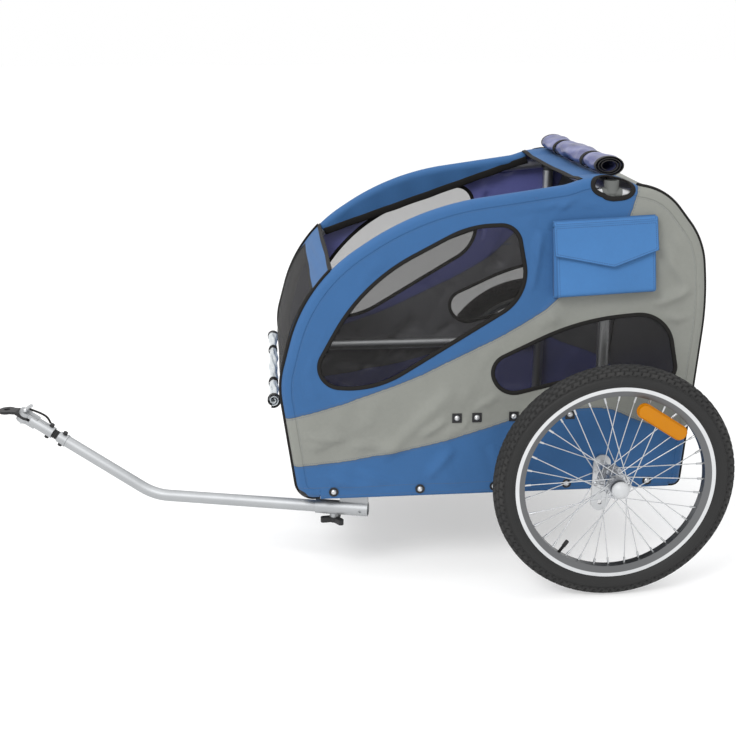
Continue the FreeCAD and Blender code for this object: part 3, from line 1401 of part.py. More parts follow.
RAIL = base_rail().cut(DRILLS)
NODES["base_rail_left"] = [RAIL.cut(SADDLE_DRILLS)]
NODES["base_rail_right"] = [mirrored(RAIL)]
NODES["front_cross_tube"] = [cross_tube(FRONT_BASE, CORNER_REACH)]
NODES["rear_cross_tube"] = [cross_tube(REAR_BASE, CORNER_REACH)]
NODES["axle_beam"] = [axle_beam()]
pair("front_hoop", [front_hoop()])
pair("rear_hoop", [rear_hoop()])
NODES["side_posts"] = both([side_post()])
NODES["side_stays"] = both([side_stay().cut(DRILLS)])
NODES["top_cross_tube"] = [cross_tube(TOP_BASE, CONNECTOR_REACH)]
pair("top_connector", [top_connector()])
NODES["base_corners"] = both([
    base_corner(FRONT_BASE, X_AXIS, FRONT_UP), base_corner(REAR_BASE, -X_AXIS, REAR_UP),
])
NODES["floor_board"] = [floor_board()]
pair("axle_bracket", [axle_bracket()])
NODES["stub_axles"] = both(at_wheel([stub_axle()]))
NODES["frame_bolts"] = both(frame_bolts()) + receiver_bolts()
NODES["bolt_washers"] = both(bolt_washers())
pair("side_cover", [side_cover().cut(DRILLS)])
NODES["side_windows"] = both([side_window(LARGE_WINDOW_SHARES), side_window(SMALL_WINDOW_SHARES)])
NODES["front_panel"] = [front_panel()]
NODES["front_mesh"] = [front_mesh()]
NODES["rear_panel"] = [rear_panel()]
NODES["opening_edges"] = both([opening_edge()])
pair("pocket", pocket())
pair("pocket_flap", [pocket_flap()])
TOP_ROLL_AT, FRONT_ROLL_AT = roll_seats()
NODES["top_roll"] = [rolled_sheet(
    TOP_ROLL_RADIUS, TOP_ROLL_SHEET, TOP_ROLL_GAP, TOP_ROLL_HALF_TURNS, TOP_ROLL_LENGTH
).translated(TOP_ROLL_AT)]
NODES["front_roll"] = [rolled_sheet(
    FRONT_ROLL_RADIUS, FRONT_ROLL_SHEET, FRONT_ROLL_GAP, FRONT_ROLL_HALF_TURNS, FRONT_ROLL_LENGTH
).translated(FRONT_ROLL_AT)]
NODES["roll_straps"] = roll_straps()
NODES["rear_reflectors"] = both([rear_lamp()])
pair("tyre", at_wheel([tyre(), valve()]))
pair("rim", at_wheel([rim()]))
pair("spokes", at_wheel(spokes()))
pair("hub", at_wheel([hub()]))
pair("bearings", at_wheel(bearings()))
pair("spoke_reflector", at_wheel([spoke_reflector()]))
pair("release_button", at_wheel([release_button()]))
NODES["tow_receiver"] = [tow_receiver()]
NODES["clamp_knob"] = [clamp_knob()]
NODES["tow_tube"] = [tow_tube()]
NODES["tow_bolt"] = [coupler_bolt(-COUPLER_BOLT_BACK, TOW_RADIUS)]
NODES["flex_link"] = [flex_link()]
NODES["tongue"] = [tongue()]
NODES["tongue_bolt"] = [coupler_bolt(TONGUE_START + COUPLER_BOLT_BACK, TONGUE_RADIUS)]
NODES["hitch_plate"] = [hitch_plate()]
NODES["hitch_pin"] = [hitch_pin()]
NODES["pin_strap"] = [pin_strap()]

# The middle of the trailer, from the hitch's tip to the back of the tyres
HITCH_BEND = COUPLER.multVec(X_AXIS * (PIN_AT + HITCH_TAIL_REACH))
AXLE_HOLE = HITCH_BEND + TOW.Rotation.multVec(X_AXIS) * HITCH_PLATE_REACH
MIDDLE_X = (AXLE_HOLE.x - HITCH_END_RADIUS + TYRE_RADIUS) / 2

for name, solids in NODES.items():
    shape = Part.makeCompound(solids) if len(solids) > 1 else solids[0]
    shape = shape.translated(X_AXIS * -MIDDLE_X)
    shape.exportStep("parts/" + name + ".step")


def show(label, point, direction):
    """Print a place and a direction of the finished trailer."""
    place = point - X_AXIS * MIDDLE_X
    print(label, [round(value, 4) for value in place], [round(value, 6) for value in direction])


show("wheel_left", WHEEL_CENTRE, -Y_AXIS)
show("tow_slide", TOW.multVec(Vector(0, 0, TOW_HEIGHT)), TOW.Rotation.multVec(X_AXIS))
show("clamp_knob", TOW.multVec(Vector(-KNOB_BACK, 0, TOW_HEIGHT)), Z_AXIS)
show("coupler_pitch", COUPLER.multVec(X_AXIS * (LINK_NECK_LENGTH / 2)), TOW.Rotation.multVec(Y_AXIS))
show("hitch_yaw", COUPLER.multVec(X_AXIS * PIN_AT), COUPLER.Rotation.multVec(Z_AXIS))
show("hitch_axle_hole", AXLE_HOLE + Z_AXIS * (HITCH_THICKNESS / 2), Z_AXIS)
show("flap_left", POCKET.multVec(FLAP_HINGE), POCKET.Rotation.multVec(-X_AXIS))
show("socket_left", TOP_BASE + Z_AXIS * SOCKET_RISE, Z_AXIS)
show("cabin_floor", Vector(0, 0, FRONT_BASE.z + TUBE_RADIUS + FIT_GAP + FLOOR_THICKNESS), Z_AXIS)
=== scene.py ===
import bpy
import numpy as np
from mathutils import Matrix


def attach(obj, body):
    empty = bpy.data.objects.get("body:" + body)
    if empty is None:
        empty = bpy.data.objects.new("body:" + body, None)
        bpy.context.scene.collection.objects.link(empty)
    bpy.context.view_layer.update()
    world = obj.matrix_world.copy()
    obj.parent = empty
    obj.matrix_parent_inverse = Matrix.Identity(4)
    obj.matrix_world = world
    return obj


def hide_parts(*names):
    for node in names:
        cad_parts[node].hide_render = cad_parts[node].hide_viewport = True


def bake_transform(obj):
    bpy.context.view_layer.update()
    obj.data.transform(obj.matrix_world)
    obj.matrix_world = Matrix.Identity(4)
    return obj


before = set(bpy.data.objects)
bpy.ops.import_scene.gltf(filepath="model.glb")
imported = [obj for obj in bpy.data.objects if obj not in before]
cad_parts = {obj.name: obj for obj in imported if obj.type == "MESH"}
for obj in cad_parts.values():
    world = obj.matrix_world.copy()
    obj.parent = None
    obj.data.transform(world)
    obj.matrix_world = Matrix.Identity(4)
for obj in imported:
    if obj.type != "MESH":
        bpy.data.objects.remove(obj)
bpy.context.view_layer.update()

# Frame tubes: drawn aluminium tube, satin anodised, cut to length and pushed on
# the spigots of moulded fittings. The bends of the hoops are made in a tube bender.


class Shade:
    """A socket of a material. Sums and products of sockets and numbers add Math nodes."""

    def __init__(self, tree, socket=None):
        self.tree = tree
        self.socket = socket

    def node(self, kind, inputs, out=0, stops=None, **settings):
        """A node of that kind: settings and ramp stops first, then values or links."""
        made = self.tree.nodes.new("ShaderNode" + kind)
        for name, value in settings.items():
            setattr(made, name, value)
        if stops:
            ramp = made.color_ramp.elements
            while len(ramp) < len(stops):
                ramp.new(0.5)
            for element, (place, colour) in zip(ramp, stops):
                element.position = place
                element.color = (*colour, 1.0)
        for name, value in inputs.items():
            if isinstance(value, Shade):
                self.tree.links.new(value.socket, made.inputs[name])
            else:
                made.inputs[name].default_value = value
        return Shade(self.tree, made.outputs[out])

    def math(self, operation, a, b=0.0):
        return self.node("Math", {0: a, 1: b}, operation=operation)

    def clip(self, low=0.0, high=1.0):
        return self.math("MINIMUM", self.math("MAXIMUM", self, low), high)

    def attribute(self, name):
        return self.node("Attribute", {}, out=2, attribute_name=name)

    def place(self, scale=(1, 1, 1)):
        """Object coordinates in metres, stretched by a scale on each axis."""
        spot = self.node("TexCoord", {}, out=3)
        return self.node("Mapping", {"Vector": spot, "Scale": scale})

    def axes(self):
        """The x, y and z of the object coordinates."""
        spot = self.place()
        return [self.node("SeparateXYZ", {0: spot}, out=way) for way in range(3)]

    def noise(self, scale, detail=3.0, stretch=(1, 1, 1)):
        return self.node("TexNoise", {"Vector": self.place(stretch), "Scale": scale, "Detail": detail})

    def blend(self, share, first, second, mode="MIX"):
        """Colour that goes from the first to the second as the share goes from 0 to 1."""
        return self.node("Mix", {0: share, 6: first, 7: second}, out=2, data_type="RGBA", blend_type=mode)


def math_method(operation, turned=False):
    """A method of Shade that adds one Math node, with its two inputs turned round on request."""
    def method(self, other=0.0):
        return self.math(operation, *((other, self) if turned else (self, other)))
    return method


for name, operation in (
    ("__add__", "ADD"), ("__sub__", "SUBTRACT"), ("__mul__", "MULTIPLY"), ("__truediv__", "DIVIDE"),
    ("__gt__", "GREATER_THAN"), ("__lt__", "LESS_THAN"),
    ("abs", "ABSOLUTE"), ("fract", "FRACT"), ("sine", "SINE"),
):
    setattr(Shade, name, math_method(operation))
Shade.__radd__ = math_method("ADD", True)
Shade.__rsub__ = math_method("SUBTRACT", True)


def finish(name, look, **fixed):
    """A material: fixed sockets get a value, and look(shade) gives the ones that vary."""
    made = bpy.data.materials.new(name)
    made.use_nodes = True
    tree = made.node_tree
    shader = tree.nodes["Principled BSDF"]
    for socket, value in fixed.items():
        shader.inputs[socket.replace("_", " ")].default_value = value
    for socket, value in look(Shade(tree)).items():
        if socket == "Bump":
            height, strength, distance = value
            bump = Shade(tree).node("Bump", {"Height": height, "Strength": strength, "Distance": distance})
            tree.links.new(bump.socket, shader.inputs["Normal"])
        else:
            tree.links.new(value.socket, shader.inputs[socket])
    return made


def coat(material, *names):
    """Give CAD nodes a finish."""
    for name in names:
        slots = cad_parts[name].data.materials
        slots.clear()
        slots.append(material)


def grained(dark, light, rough, spread, grain, patch, bump, stretch=(1, 1, 1)):
    """A two-tone look: slow patches in the colour, and a fine grain in the roughness and bump."""
    def look(shade):
        fine = shade.noise(grain, 2.0, stretch)
        return {
            "Base Color": shade.blend(shade.noise(patch), (*dark, 1), (*light, 1)),
            "Roughness": rough + fine * spread,
            "Bump": (fine, *bump),
        }
    return look


def drawn(dark, light, rough, spread):
    """Drawn tube: fine lines along x."""
    return grained(dark, light, rough, spread, 900.0, 14.0, (0.03, 0.0004), (0.08, 1, 1))


tube_finish = finish(
    "anodised_tube", drawn((0.53, 0.54, 0.55), (0.62, 0.63, 0.64), 0.34, 0.14), Metallic=1.0,
)
coat(
    tube_finish, "base_rail_left", "base_rail_right", "front_cross_tube", "rear_cross_tube", "axle_beam",
    "front_hoop_left", "front_hoop_right", "rear_hoop_left", "rear_hoop_right", "side_posts", "side_stays",
    "top_cross_tube",
)

# Fittings and floor: glass-filled nylon mouldings with a fine spark-eroded grain, black at
# the corners and grey at the top connectors, and a stiff black board as the floor.


def moulded(dark, light, rough):
    """Moulded plastic with a fine even grain."""
    return grained(dark, light, rough, 0.14, 1400.0, 22.0, (0.12, 0.0004))


black_nylon = finish(
    "black_nylon", moulded((0.006, 0.006, 0.007), (0.014, 0.014, 0.015), 0.38), Specular_IOR_Level=0.35,
)
grey_nylon = finish(
    "grey_nylon", moulded((0.085, 0.090, 0.086), (0.120, 0.125, 0.120), 0.44), Specular_IOR_Level=0.3,
)
board_black = finish("floor_board_black", moulded((0.007, 0.007, 0.008), (0.014, 0.014, 0.015), 0.62))
coat(grey_nylon, "top_connector_left", "top_connector_right")
coat(black_nylon, "base_corners", "bolt_washers")
coat(board_black, "floor_board")

# Side covers: coated woven cloth in blue and grey, sewn along two swept seams, with
# turned hems. Each side is pulled over the hoops and bolted to the rail and the stay.

BODY_X = -0.14601
BODY_LENGTH = 0.876
BODY_HEIGHT = 0.657
BODY_BOTTOM = 0.197
HALF_WIDTH = 0.298
LEAN = np.arctan(0.0256 / BODY_HEIGHT)
EDGE_ROUND = 0.0148
AXLE_X = 0.5209764
OUTLINE = (
    (0.026, 0.000, 0.130), (-0.013, 0.381, 0.17), (0.051, 0.695, 0.58), (0.313, 0.923, 0.47),
    (0.740, 1.000, 0.07), (0.887, 0.959, 0.34), (0.981, 0.804, 0.37), (0.998, 0.610, 0.50),
    (0.962, 0.000, 0.035),
)
LARGE_WINDOW = (
    (0.183, 0.697, 0.48), (0.428, 0.865, 0.48), (0.539, 0.868, 0.36), (0.572, 0.647, 0.44),
    (0.209, 0.356, 0.48), (0.048, 0.378, 0.48),
)
SMALL_WINDOW = (
    (0.475, 0.430, 0.48), (0.692, 0.564, 0.48), (0.903, 0.586, 0.40), (0.942, 0.336, 0.45),
    (0.817, 0.378, 0.42), (0.652, 0.365, 0.13), (0.513, 0.323, 0.48),
)
UPPER_SEAM = (
    (-0.700, 0.370), (-0.661, 0.376), (-0.595, 0.391), (-0.498, 0.421), (-0.400, 0.456), (-0.303, 0.501),
    (-0.225, 0.538), (-0.158, 0.576), (-0.115, 0.609), (-0.040, 0.690), (0.015, 0.750), (0.033, 0.782),
    (0.048, 0.837), (0.058, 0.900),
)
LOWER_SEAM = (
    (-0.700, 0.266), (-0.647, 0.270), (-0.548, 0.279), (-0.449, 0.294), (-0.350, 0.313), (-0.250, 0.341),
    (-0.186, 0.360), (-0.072, 0.376), (0.006, 0.376), (0.070, 0.350), (0.140, 0.324), (0.190, 0.296),
    (0.240, 0.270),
)


def spaced(curve, step):
    """A polyline resampled at even steps of its length."""
    run = np.r_[0, np.cumsum(np.linalg.norm(np.diff(curve, axis=0), axis=1))]
    at = np.linspace(0, run[-1], max(int(run[-1] / step), 2) + 1)
    return np.stack([np.interp(at, run, curve[:, axis]) for axis in range(curve.shape[1])], 1)


def smooth_line(points, step):
    """A curve through points: each span is a cubic Hermite with central differences."""
    p = np.asarray(points, float)
    slope = np.gradient(p, axis=0)
    t = np.linspace(0, 1, 24, endpoint=False)[None, :, None]
    a, b, da, db = p[:-1, None], p[1:, None], slope[:-1, None], slope[1:, None]
    span = (2 * t**3 - 3 * t**2 + 1) * a + (t**3 - 2 * t**2 + t) * da
    span = span + (3 * t**2 - 2 * t**3) * b + (t**3 - t**2) * db
    return spaced(np.vstack([span.reshape(-1, p.shape[1]), p[-1:]]), step)


def rounded(shares, step=0.002):
    """A closed outline in the side's plane: each corner is a tangent arc whose reach is
    a share of the shorter edge. Returns (x, height) pairs, clockwise, evenly spaced."""
    table = np.array(shares)
    p = np.stack([BODY_X + table[:, 0] * BODY_LENGTH, table[:, 1] * BODY_HEIGHT], 1)
    back = np.roll(p, 1, 0) - p
    ahead = np.roll(p, -1, 0) - p
    run_back = np.linalg.norm(back, axis=1, keepdims=True)
    run_ahead = np.linalg.norm(ahead, axis=1, keepdims=True)
    reach = table[:, 2:] * np.minimum(run_back, run_ahead)
    start, end = p + back / run_back * reach, p + ahead / run_ahead * reach
    half = np.arccos(np.clip((back * ahead).sum(1, keepdims=True) / run_back / run_ahead, -1, 1)) / 2
    middle = back / run_back + ahead / run_ahead
    centre = p + middle / np.linalg.norm(middle, axis=1, keepdims=True) * reach / np.cos(half)
    first = np.arctan2(start[:, 1] - centre[:, 1], start[:, 0] - centre[:, 0])
    turn = np.arctan2(end[:, 1] - centre[:, 1], end[:, 0] - centre[:, 0]) - first
    turn = (turn + np.pi) % (2 * np.pi) - np.pi
    angle = first[:, None] + turn[:, None] * np.linspace(0, 1, 25)[None]
    radius = np.linalg.norm(start - centre, axis=1)[:, None]
    arcs = np.stack([centre[:, :1] + radius * np.cos(angle), centre[:, 1:] + radius * np.sin(angle)], -1)
    loop = arcs.reshape(-1, 2)
    return spaced(np.vstack([loop, loop[:1]]), step)[:-1]


def nearest(points, curve):
    """Distance to the closest sample of a curve, and that sample's number."""
    gaps, numbers = [], []
    for part in np.array_split(points, max(1, len(points) // 4000)):
        square = ((part[:, None] - curve[None]) ** 2).sum(-1)
        numbers.append(square.argmin(1))
        gaps.append(np.sqrt(square.min(1)))
    return np.concatenate(gaps), np.concatenate(numbers)


def contains(points, curve):
    """Even-odd test: which points lie inside a closed curve."""
    inside = []
    a, b = curve[None], np.roll(curve, -1, 0)[None]
    for part in np.array_split(points, max(1, len(points) // 4000)):
        x, z = part[:, :1], part[:, 1:]
        spans = (a[..., 1] > z) != (b[..., 1] > z)
        rise = np.where(b[..., 1] == a[..., 1], 1, b[..., 1] - a[..., 1])
        hit = x < (b[..., 0] - a[..., 0]) * (z - a[..., 1]) / rise + a[..., 0]
        inside.append((spans & hit).sum(1) % 2 == 1)
    return np.concatenate(inside)


def beside(points, curve):
    """Signed distance to an open curve, positive on the left of its direction."""
    gap, number = nearest(points, curve)
    along = np.gradient(curve, axis=0)[number]
    off = points - curve[number]
    return gap * np.sign(along[:, 0] * off[:, 1] - along[:, 1] * off[:, 0])


def build(name, points, faces, uv=None, values=None):
    """A mesh object from points, lists of face corners (-1 marks a triangle's missing
    corner), a UV pair for each point and named values for each point."""
    mesh = bpy.data.meshes.new(name)
    mesh.vertices.add(len(points))
    mesh.vertices.foreach_set("co", np.ascontiguousarray(points, np.float32).ravel())
    corners = faces.ravel()
    corners = corners[corners >= 0]
    counts = (faces >= 0).sum(1)
    mesh.loops.add(len(corners))
    mesh.loops.foreach_set("vertex_index", corners.astype(np.int32))
    mesh.polygons.add(len(faces))
    mesh.polygons.foreach_set("loop_start", np.r_[0, np.cumsum(counts)[:-1]].astype(np.int32))
    mesh.polygons.foreach_set("use_smooth", np.ones(len(faces), bool))
    if uv is not None:
        layer = mesh.uv_layers.new(name="UVMap")
        layer.data.foreach_set("uv", np.ascontiguousarray(uv[corners], np.float32).ravel())
    for key, value in (values or {}).items():
        mesh.attributes.new(key, "FLOAT", "POINT").data.foreach_set("value", value.astype(np.float32))
    mesh.update(calc_edges=True)
    mesh.validate()
    made = bpy.data.objects.new(name, mesh)
    bpy.context.scene.collection.objects.link(made)
    return made


def grid_faces(rows, columns, loop_rows=False, loop_columns=False):
    """Quads of a grid of points, joined round where a way of the grid is a loop."""
    index = np.arange(rows * columns).reshape(rows, columns)
    if loop_rows:
        index = np.vstack([index, index[:1]])
    if loop_columns:
        index = np.hstack([index, index[:, :1]])
    quads = [index[:-1, :-1], index[1:, :-1], index[1:, 1:], index[:-1, 1:]]
    return np.stack(quads, -1).reshape(-1, 4)


def lattice(outline, holes, cell):
    """A square lattice cut to an outline with holes: corners near a curve move onto it."""
    low, high = outline.min(0) - cell, outline.max(0) + cell
    grid = np.meshgrid(np.arange(low[0], high[0], cell), np.arange(low[1], high[1], cell), indexing="ij")
    rows, columns = grid[0].shape
    spots = np.stack(grid, -1).reshape(-1, 2)
    kept = np.ones(len(spots), bool)
    for number, curve in enumerate([outline, *holes]):
        gap, near = nearest(spots, curve)
        side = contains(spots, curve) == (number == 0)
        snap = gap < 0.62 * cell
        spots[snap] = curve[near[snap]]
        kept &= side | snap
    quads = grid_faces(rows, columns)
    count = kept[quads].sum(1)
    quads = quads[count >= 3]
    quads = np.where(kept[quads], quads, -1)
    quads = np.take_along_axis(quads, np.argsort(quads < 0, axis=1, kind="stable"), 1)
    used = np.unique(quads[quads >= 0])
    place = np.full(len(spots) + 1, -1)
    place[used] = np.arange(len(used))
    return spots[used], place[quads]


def on_side(spots, depth, side):
    """Points of the side's leaning plane in the trailer's frame: x, height along the
    plane and depth inward from the outer face. Side -1 is the left, 1 the right."""
    y = HALF_WIDTH - depth * np.cos(LEAN) - spots[..., 1] * np.sin(LEAN)
    z = BODY_BOTTOM - depth * np.sin(LEAN) + spots[..., 1] * np.cos(LEAN)
    return np.stack([spots[..., 0], side * y, z], -1)


def eased(value, low, high):
    """Smooth step from 0 at low to 1 at high."""
    t = np.clip((value - low) / (high - low), 0, 1)
    return t * t * (3 - 2 * t)


outline = rounded(OUTLINE)
windows = [rounded(LARGE_WINDOW), rounded(SMALL_WINDOW)]
to_side = np.array([AXLE_X, -BODY_BOTTOM])
upper_seam = smooth_line(np.array(UPPER_SEAM) + to_side, 0.003)
lower_seam = smooth_line(np.array(LOWER_SEAM) + to_side, 0.003)


def unit(vectors):
    return vectors / np.maximum(np.linalg.norm(vectors, axis=-1, keepdims=True), 1e-9)


def inward(curve):
    """Unit normals of a clockwise curve, towards the inside."""
    along = unit(np.gradient(curve, axis=0))
    return np.stack([along[:, 1], -along[:, 0]], 1)


def between(curve, first, last):
    """The stretch of a closed curve from the sample nearest one point to that nearest another."""
    a, b = (int(np.argmin(np.linalg.norm(curve - np.array(point), axis=1))) for point in (first, last))
    return curve[a:b + 1] if b > a else np.vstack([curve[a:], curve[:b + 1]])


FOOT_FRONT = (BODY_X + OUTLINE[0][0] * BODY_LENGTH + 0.045, 0.0)
FOOT_REAR = (BODY_X + OUTLINE[-1][0] * BODY_LENGTH - 0.024, 0.0)
CONNECTOR_HUMP = 0.0065
rim_line = between(outline, FOOT_FRONT, FOOT_REAR)
rim_x = rim_line[:, 0] - AXLE_X
on_top = rim_line[:, 1] > 0.5 * BODY_HEIGHT
hump = CONNECTOR_HUMP * eased(rim_x, -0.105, -0.055) * eased(-rim_x, -0.055, -0.005) * on_top
rim_line = rim_line - inward(rim_line) * hump[:, None]
rim_in = inward(rim_line)
rim_run = np.r_[0, np.cumsum(np.linalg.norm(np.diff(rim_line, axis=0), axis=1))]
shoulder = rim_line + rim_in * EDGE_ROUND
rising = rim_line[:, 0] < BODY_X + 0.3 * BODY_LENGTH
mesh_foot, mesh_top, opening_front = (
    int(np.argmax(rising & (rim_line[:, 1] > share * BODY_HEIGHT))) for share in (0.355, 0.665, 0.732)
)
opening_rear = int(np.argmax(rim_line[:, 0] > BODY_X + 0.684 * BODY_LENGTH))
port_at = int(np.argmax(rim_line[:, 0] > AXLE_X - 0.004))
ROLL_LENGTH = EDGE_ROUND * np.pi / 2
PORT_HALF = (0.046, 0.027)


def at_sample(number, values):
    """Values along the rim at numbers of its samples, which may lie between two of them."""
    return np.interp(number, np.arange(len(rim_line)), values)


def over_edge(number, reach, side):
    """A point of the cover near its rounded edge: the sample number along the rim and the
    reach along the cloth from the shoulder, below 0 on the side and past the rounding on top.
    Below the shoulder it laps over the side by up to 0.4 mm."""
    turn = np.clip(reach / EDGE_ROUND, 0, np.pi / 2)
    inset = EDGE_ROUND * (1 - np.sin(turn)) - np.minimum(reach, 0)
    depth = EDGE_ROUND * (1 - np.cos(turn)) + np.maximum(reach - ROLL_LENGTH, 0)
    depth = depth - np.clip(-0.2 * reach, 0, 0.0004)
    x, up, nx, nz = (at_sample(number, values) for values in (*rim_line.T, *rim_in.T))
    return on_side(np.stack([x + nx * inset, up + nz * inset], -1), depth, side)


def in_port(number, reach):
    """Whether a place near the rounded edge falls in the oval port."""
    run = at_sample(number, rim_run) - rim_run[port_at]
    return (run / PORT_HALF[0]) ** 2 + (reach / PORT_HALF[1]) ** 2 < 1


port_angle = np.linspace(0, 2 * np.pi, 181)[:-1][::-1]
port_number = np.interp(
    rim_run[port_at] + PORT_HALF[0] * np.cos(port_angle), rim_run, np.arange(len(rim_run))
)
port_reach = PORT_HALF[1] * np.sin(port_angle)
port = np.stack([
    at_sample(port_number, shoulder[:, axis]) - at_sample(port_number, rim_in[:, axis]) * port_reach
    for axis in (0, 1)
], 1)
STAY_BOLTS = np.stack([BODY_X + np.array([0.405, 0.453, 0.542, 0.679]) * BODY_LENGTH, np.full(4, 0.169)], 1)
FLAP_SEAM = np.linspace((AXLE_X - 0.128, 0.5805), (AXLE_X + 0.088, 0.5895), 60)
FOLDS = (
    (-0.62, 0.335, -0.42, 0.300, 0.0030, 0.016), (-0.60, 0.300, -0.47, 0.345, -0.0030, 0.014),
    (-0.47, 0.285, -0.33, 0.420, 0.0028, 0.018), (-0.33, 0.330, -0.20, 0.440, 0.0032, 0.016),
    (-0.26, 0.350, -0.13, 0.420, -0.0034, 0.013), (-0.22, 0.345, -0.05, 0.405, 0.0030, 0.012),
    (-0.30, 0.345, -0.24, 0.470, -0.0026, 0.015), (-0.14, 0.800, -0.05, 0.850, 0.0085, 0.012),
    (-0.135, 0.765, -0.075, 0.835, 0.0060, 0.010), (-0.20, 0.800, -0.08, 0.822, 0.0060, 0.012),
    (-0.165, 0.640, -0.150, 0.745, 0.0040, 0.012), (-0.36, 0.770, -0.16, 0.838, 0.0020, 0.014),
    (0.10, 0.600, 0.20, 0.640, 0.0046, 0.014), (0.09, 0.560, 0.21, 0.575, 0.0040, 0.013),
    (0.12, 0.690, 0.19, 0.600, 0.0042, 0.013), (0.115, 0.790, 0.160, 0.715, 0.0050, 0.012),
    (0.17, 0.500, 0.22, 0.420, 0.0030, 0.014), (0.16, 0.420, 0.20, 0.330, -0.0028, 0.014),
    (-0.24, 0.300, -0.20, 0.215, 0.0030, 0.016), (-0.29, 0.290, -0.26, 0.215, -0.0026, 0.014),
    (-0.60, 0.250, -0.50, 0.215, 0.0022, 0.014), (-0.40, 0.260, -0.36, 0.212, -0.0020, 0.016),
    (-0.13, 0.590, -0.08, 0.520, 0.0028, 0.014), (-0.10, 0.500, 0.10, 0.480, -0.0020, 0.014),
    (-0.62, 0.470, -0.58, 0.560, 0.0020, 0.012), (-0.55, 0.420, -0.40, 0.455, -0.0018, 0.012),
    (-0.385, 0.330, -0.322, 0.370, 0.0030, 0.011), (-0.655, 0.318, -0.575, 0.307, 0.0024, 0.011),
    (-0.375, 0.235, -0.322, 0.295, 0.0026, 0.013), (-0.300, 0.345, -0.260, 0.400, 0.0026, 0.011),
    (-0.640, 0.345, -0.590, 0.325, 0.0020, 0.009), (0.125, 0.740, 0.185, 0.660, 0.0022, 0.012),
    (-0.520, 0.255, -0.440, 0.225, 0.0020, 0.014), (-0.150, 0.250, -0.190, 0.330, 0.0022, 0.014),
)


def relief(spots):
    """How far the cloth stands out of its plane. FOLDS gives the start, end, height and half
    width of each fold: a Gaussian ridge about a segment, faded at its ends, over a slow ripple.
    The tubes behind stop it from going in, and all fade at fixed edges, bolts and the flap."""
    x, up = spots.T
    out = 0.0016 * np.sin(x * 31 + up * 17 + 1.5 * np.sin(up * 23))
    out = out + 0.0012 * np.sin(x * 57 - up * 43 + 2 * np.sin(x * 19))
    out = out + 0.0006 * np.sin(x * 113 + up * 71 + 2.5 * np.sin(up * 37))
    for x0, z0, x1, z1, height, half in FOLDS:
        a = np.array([x0, z0]) + to_side
        way = np.array([x1, z1]) + to_side - a
        share = ((spots - a) @ way) / (way @ way)
        off = spots - a - np.clip(share, 0, 1)[:, None] * way
        ridge = np.exp(-((off**2).sum(1)) / (0.8 * half) ** 2)
        out = out + 2.2 * height * ridge * eased(share, -0.25, 0.25) * eased(-share, -1.25, -0.75)
    out = np.maximum(out, 0.15 * out) * eased(up, 0.004, 0.03)
    fixed = [(shoulder, 0.007, 0.045), (STAY_BOLTS, 0.010, 0.040), (FLAP_SEAM, 0.011, 0.028)]
    for curve, still, free in fixed + [(curve, 0.004, 0.030) for curve in (*windows, port)]:
        out = out * eased(nearest(spots, curve)[0], still, free)
    return out


def sewn_values(spots):
    """For each point: distance above the upper seam, above the lower seam, from the rim, and height."""
    return {
        "upper": beside(spots, upper_seam), "lower": beside(spots, lower_seam),
        "rim": nearest(spots, rim_line)[0], "height": spots[:, 1],
    }


SEAM_BLUR, STITCH_HALF, DASH_SHARE = 0.0012, 0.0007, 0.68


def woven(shade, slow, least, span):
    """Plain weave: its x and z, fuzz, tint, the height of its puckers and that of its threads."""
    patch, fine = shade.noise(slow, 4.0), shade.noise(160.0, 2.0)
    x, _, z = shade.axes()
    threads = (x * 5200.0).sine() * (z * 5200.0).sine()
    return x, z, fine, least + patch * span + fine * 0.10, patch * 0.6 + fine * 0.3, threads


def cloth(shade, blue, grey, rough, weave):
    """Blue above the upper seam and below the lower one, grey between, with sewn lines and painted shade in
    the seam grooves.
    """
    upper, lower, height, rim = (shade.attribute(name) for name in ("upper", "lower", "height", "rim"))
    x, z, fine, tint, pucker, threads = woven(shade, 7.0, 0.82, 0.24)
    is_blue = ((upper / SEAM_BLUR + 0.5).clip() + (0.5 - lower / SEAM_BLUR).clip()).clip()
    tinted = shade.blend(1.0, shade.blend(is_blue, (*grey, 1), (*blue, 1)), tint, "MULTIPLY")
    dash = (x * 250.0 + z * 90.0).fract() < DASH_SHARE
    rows = ((rim - 0.0235).abs() < 0.0006) * 0.4
    for value, line in ((upper.abs(), 0.004), (lower.abs(), 0.004), (height, 0.025), (height, 0.0065)):
        rows = rows + ((value - line).abs() < STITCH_HALF)
    stitch = (rows * dash).clip()
    groove = ((upper.abs() < 0.0014) + (lower.abs() < 0.0014)).clip()
    shown = shade.blend(stitch * 0.55, tinted, (0.07, 0.09, 0.13, 1))
    # Painted shade: the grooves along both seams are darkened towards a near-black navy.
    shown = shade.blend(groove * 0.45, shown, (0.03, 0.04, 0.06, 1))
    bump = threads * weave + pucker + stitch * 1.2 - groove * 2.5
    return {"Base Color": shown, "Roughness": rough + fine * 0.12, "Bump": (bump, 0.35, 0.0010)}


BLUE = (0.028, 0.100, 0.245)
GREY = (0.208, 0.214, 0.194)
CLOTH, THIN_CLOTH = 0.0014, 0.0012
outer_cloth = finish(
    "cover_cloth", lambda shade: cloth(shade, BLUE, GREY, 0.70, 0.35),
    Sheen_Weight=0.04, Specular_IOR_Level=0.3,
)
coated_back = finish(
    "coated_inside", lambda shade: cloth(shade, (0.110, 0.120, 0.330), (0.14, 0.14, 0.15), 0.26, 0.1),
    Coat_Weight=0.5, Coat_Roughness=0.20,
)


def thicken(made, depth, *materials):
    """Cloth thickness on the inner side, with the second material as its lining."""
    for material in materials:
        made.data.materials.append(material)
    solid = made.modifiers.new("thickness", "SOLIDIFY")
    solid.thickness = depth
    solid.offset = -1.0
    solid.material_offset = len(materials) - 1


def face_out(faces, side):
    """Faces with their corners in the order that turns them outwards on that side."""
    if side < 0:
        return faces
    return np.where(faces[:, 3:] < 0, faces[:, [2, 1, 0, 3]], faces[:, ::-1])


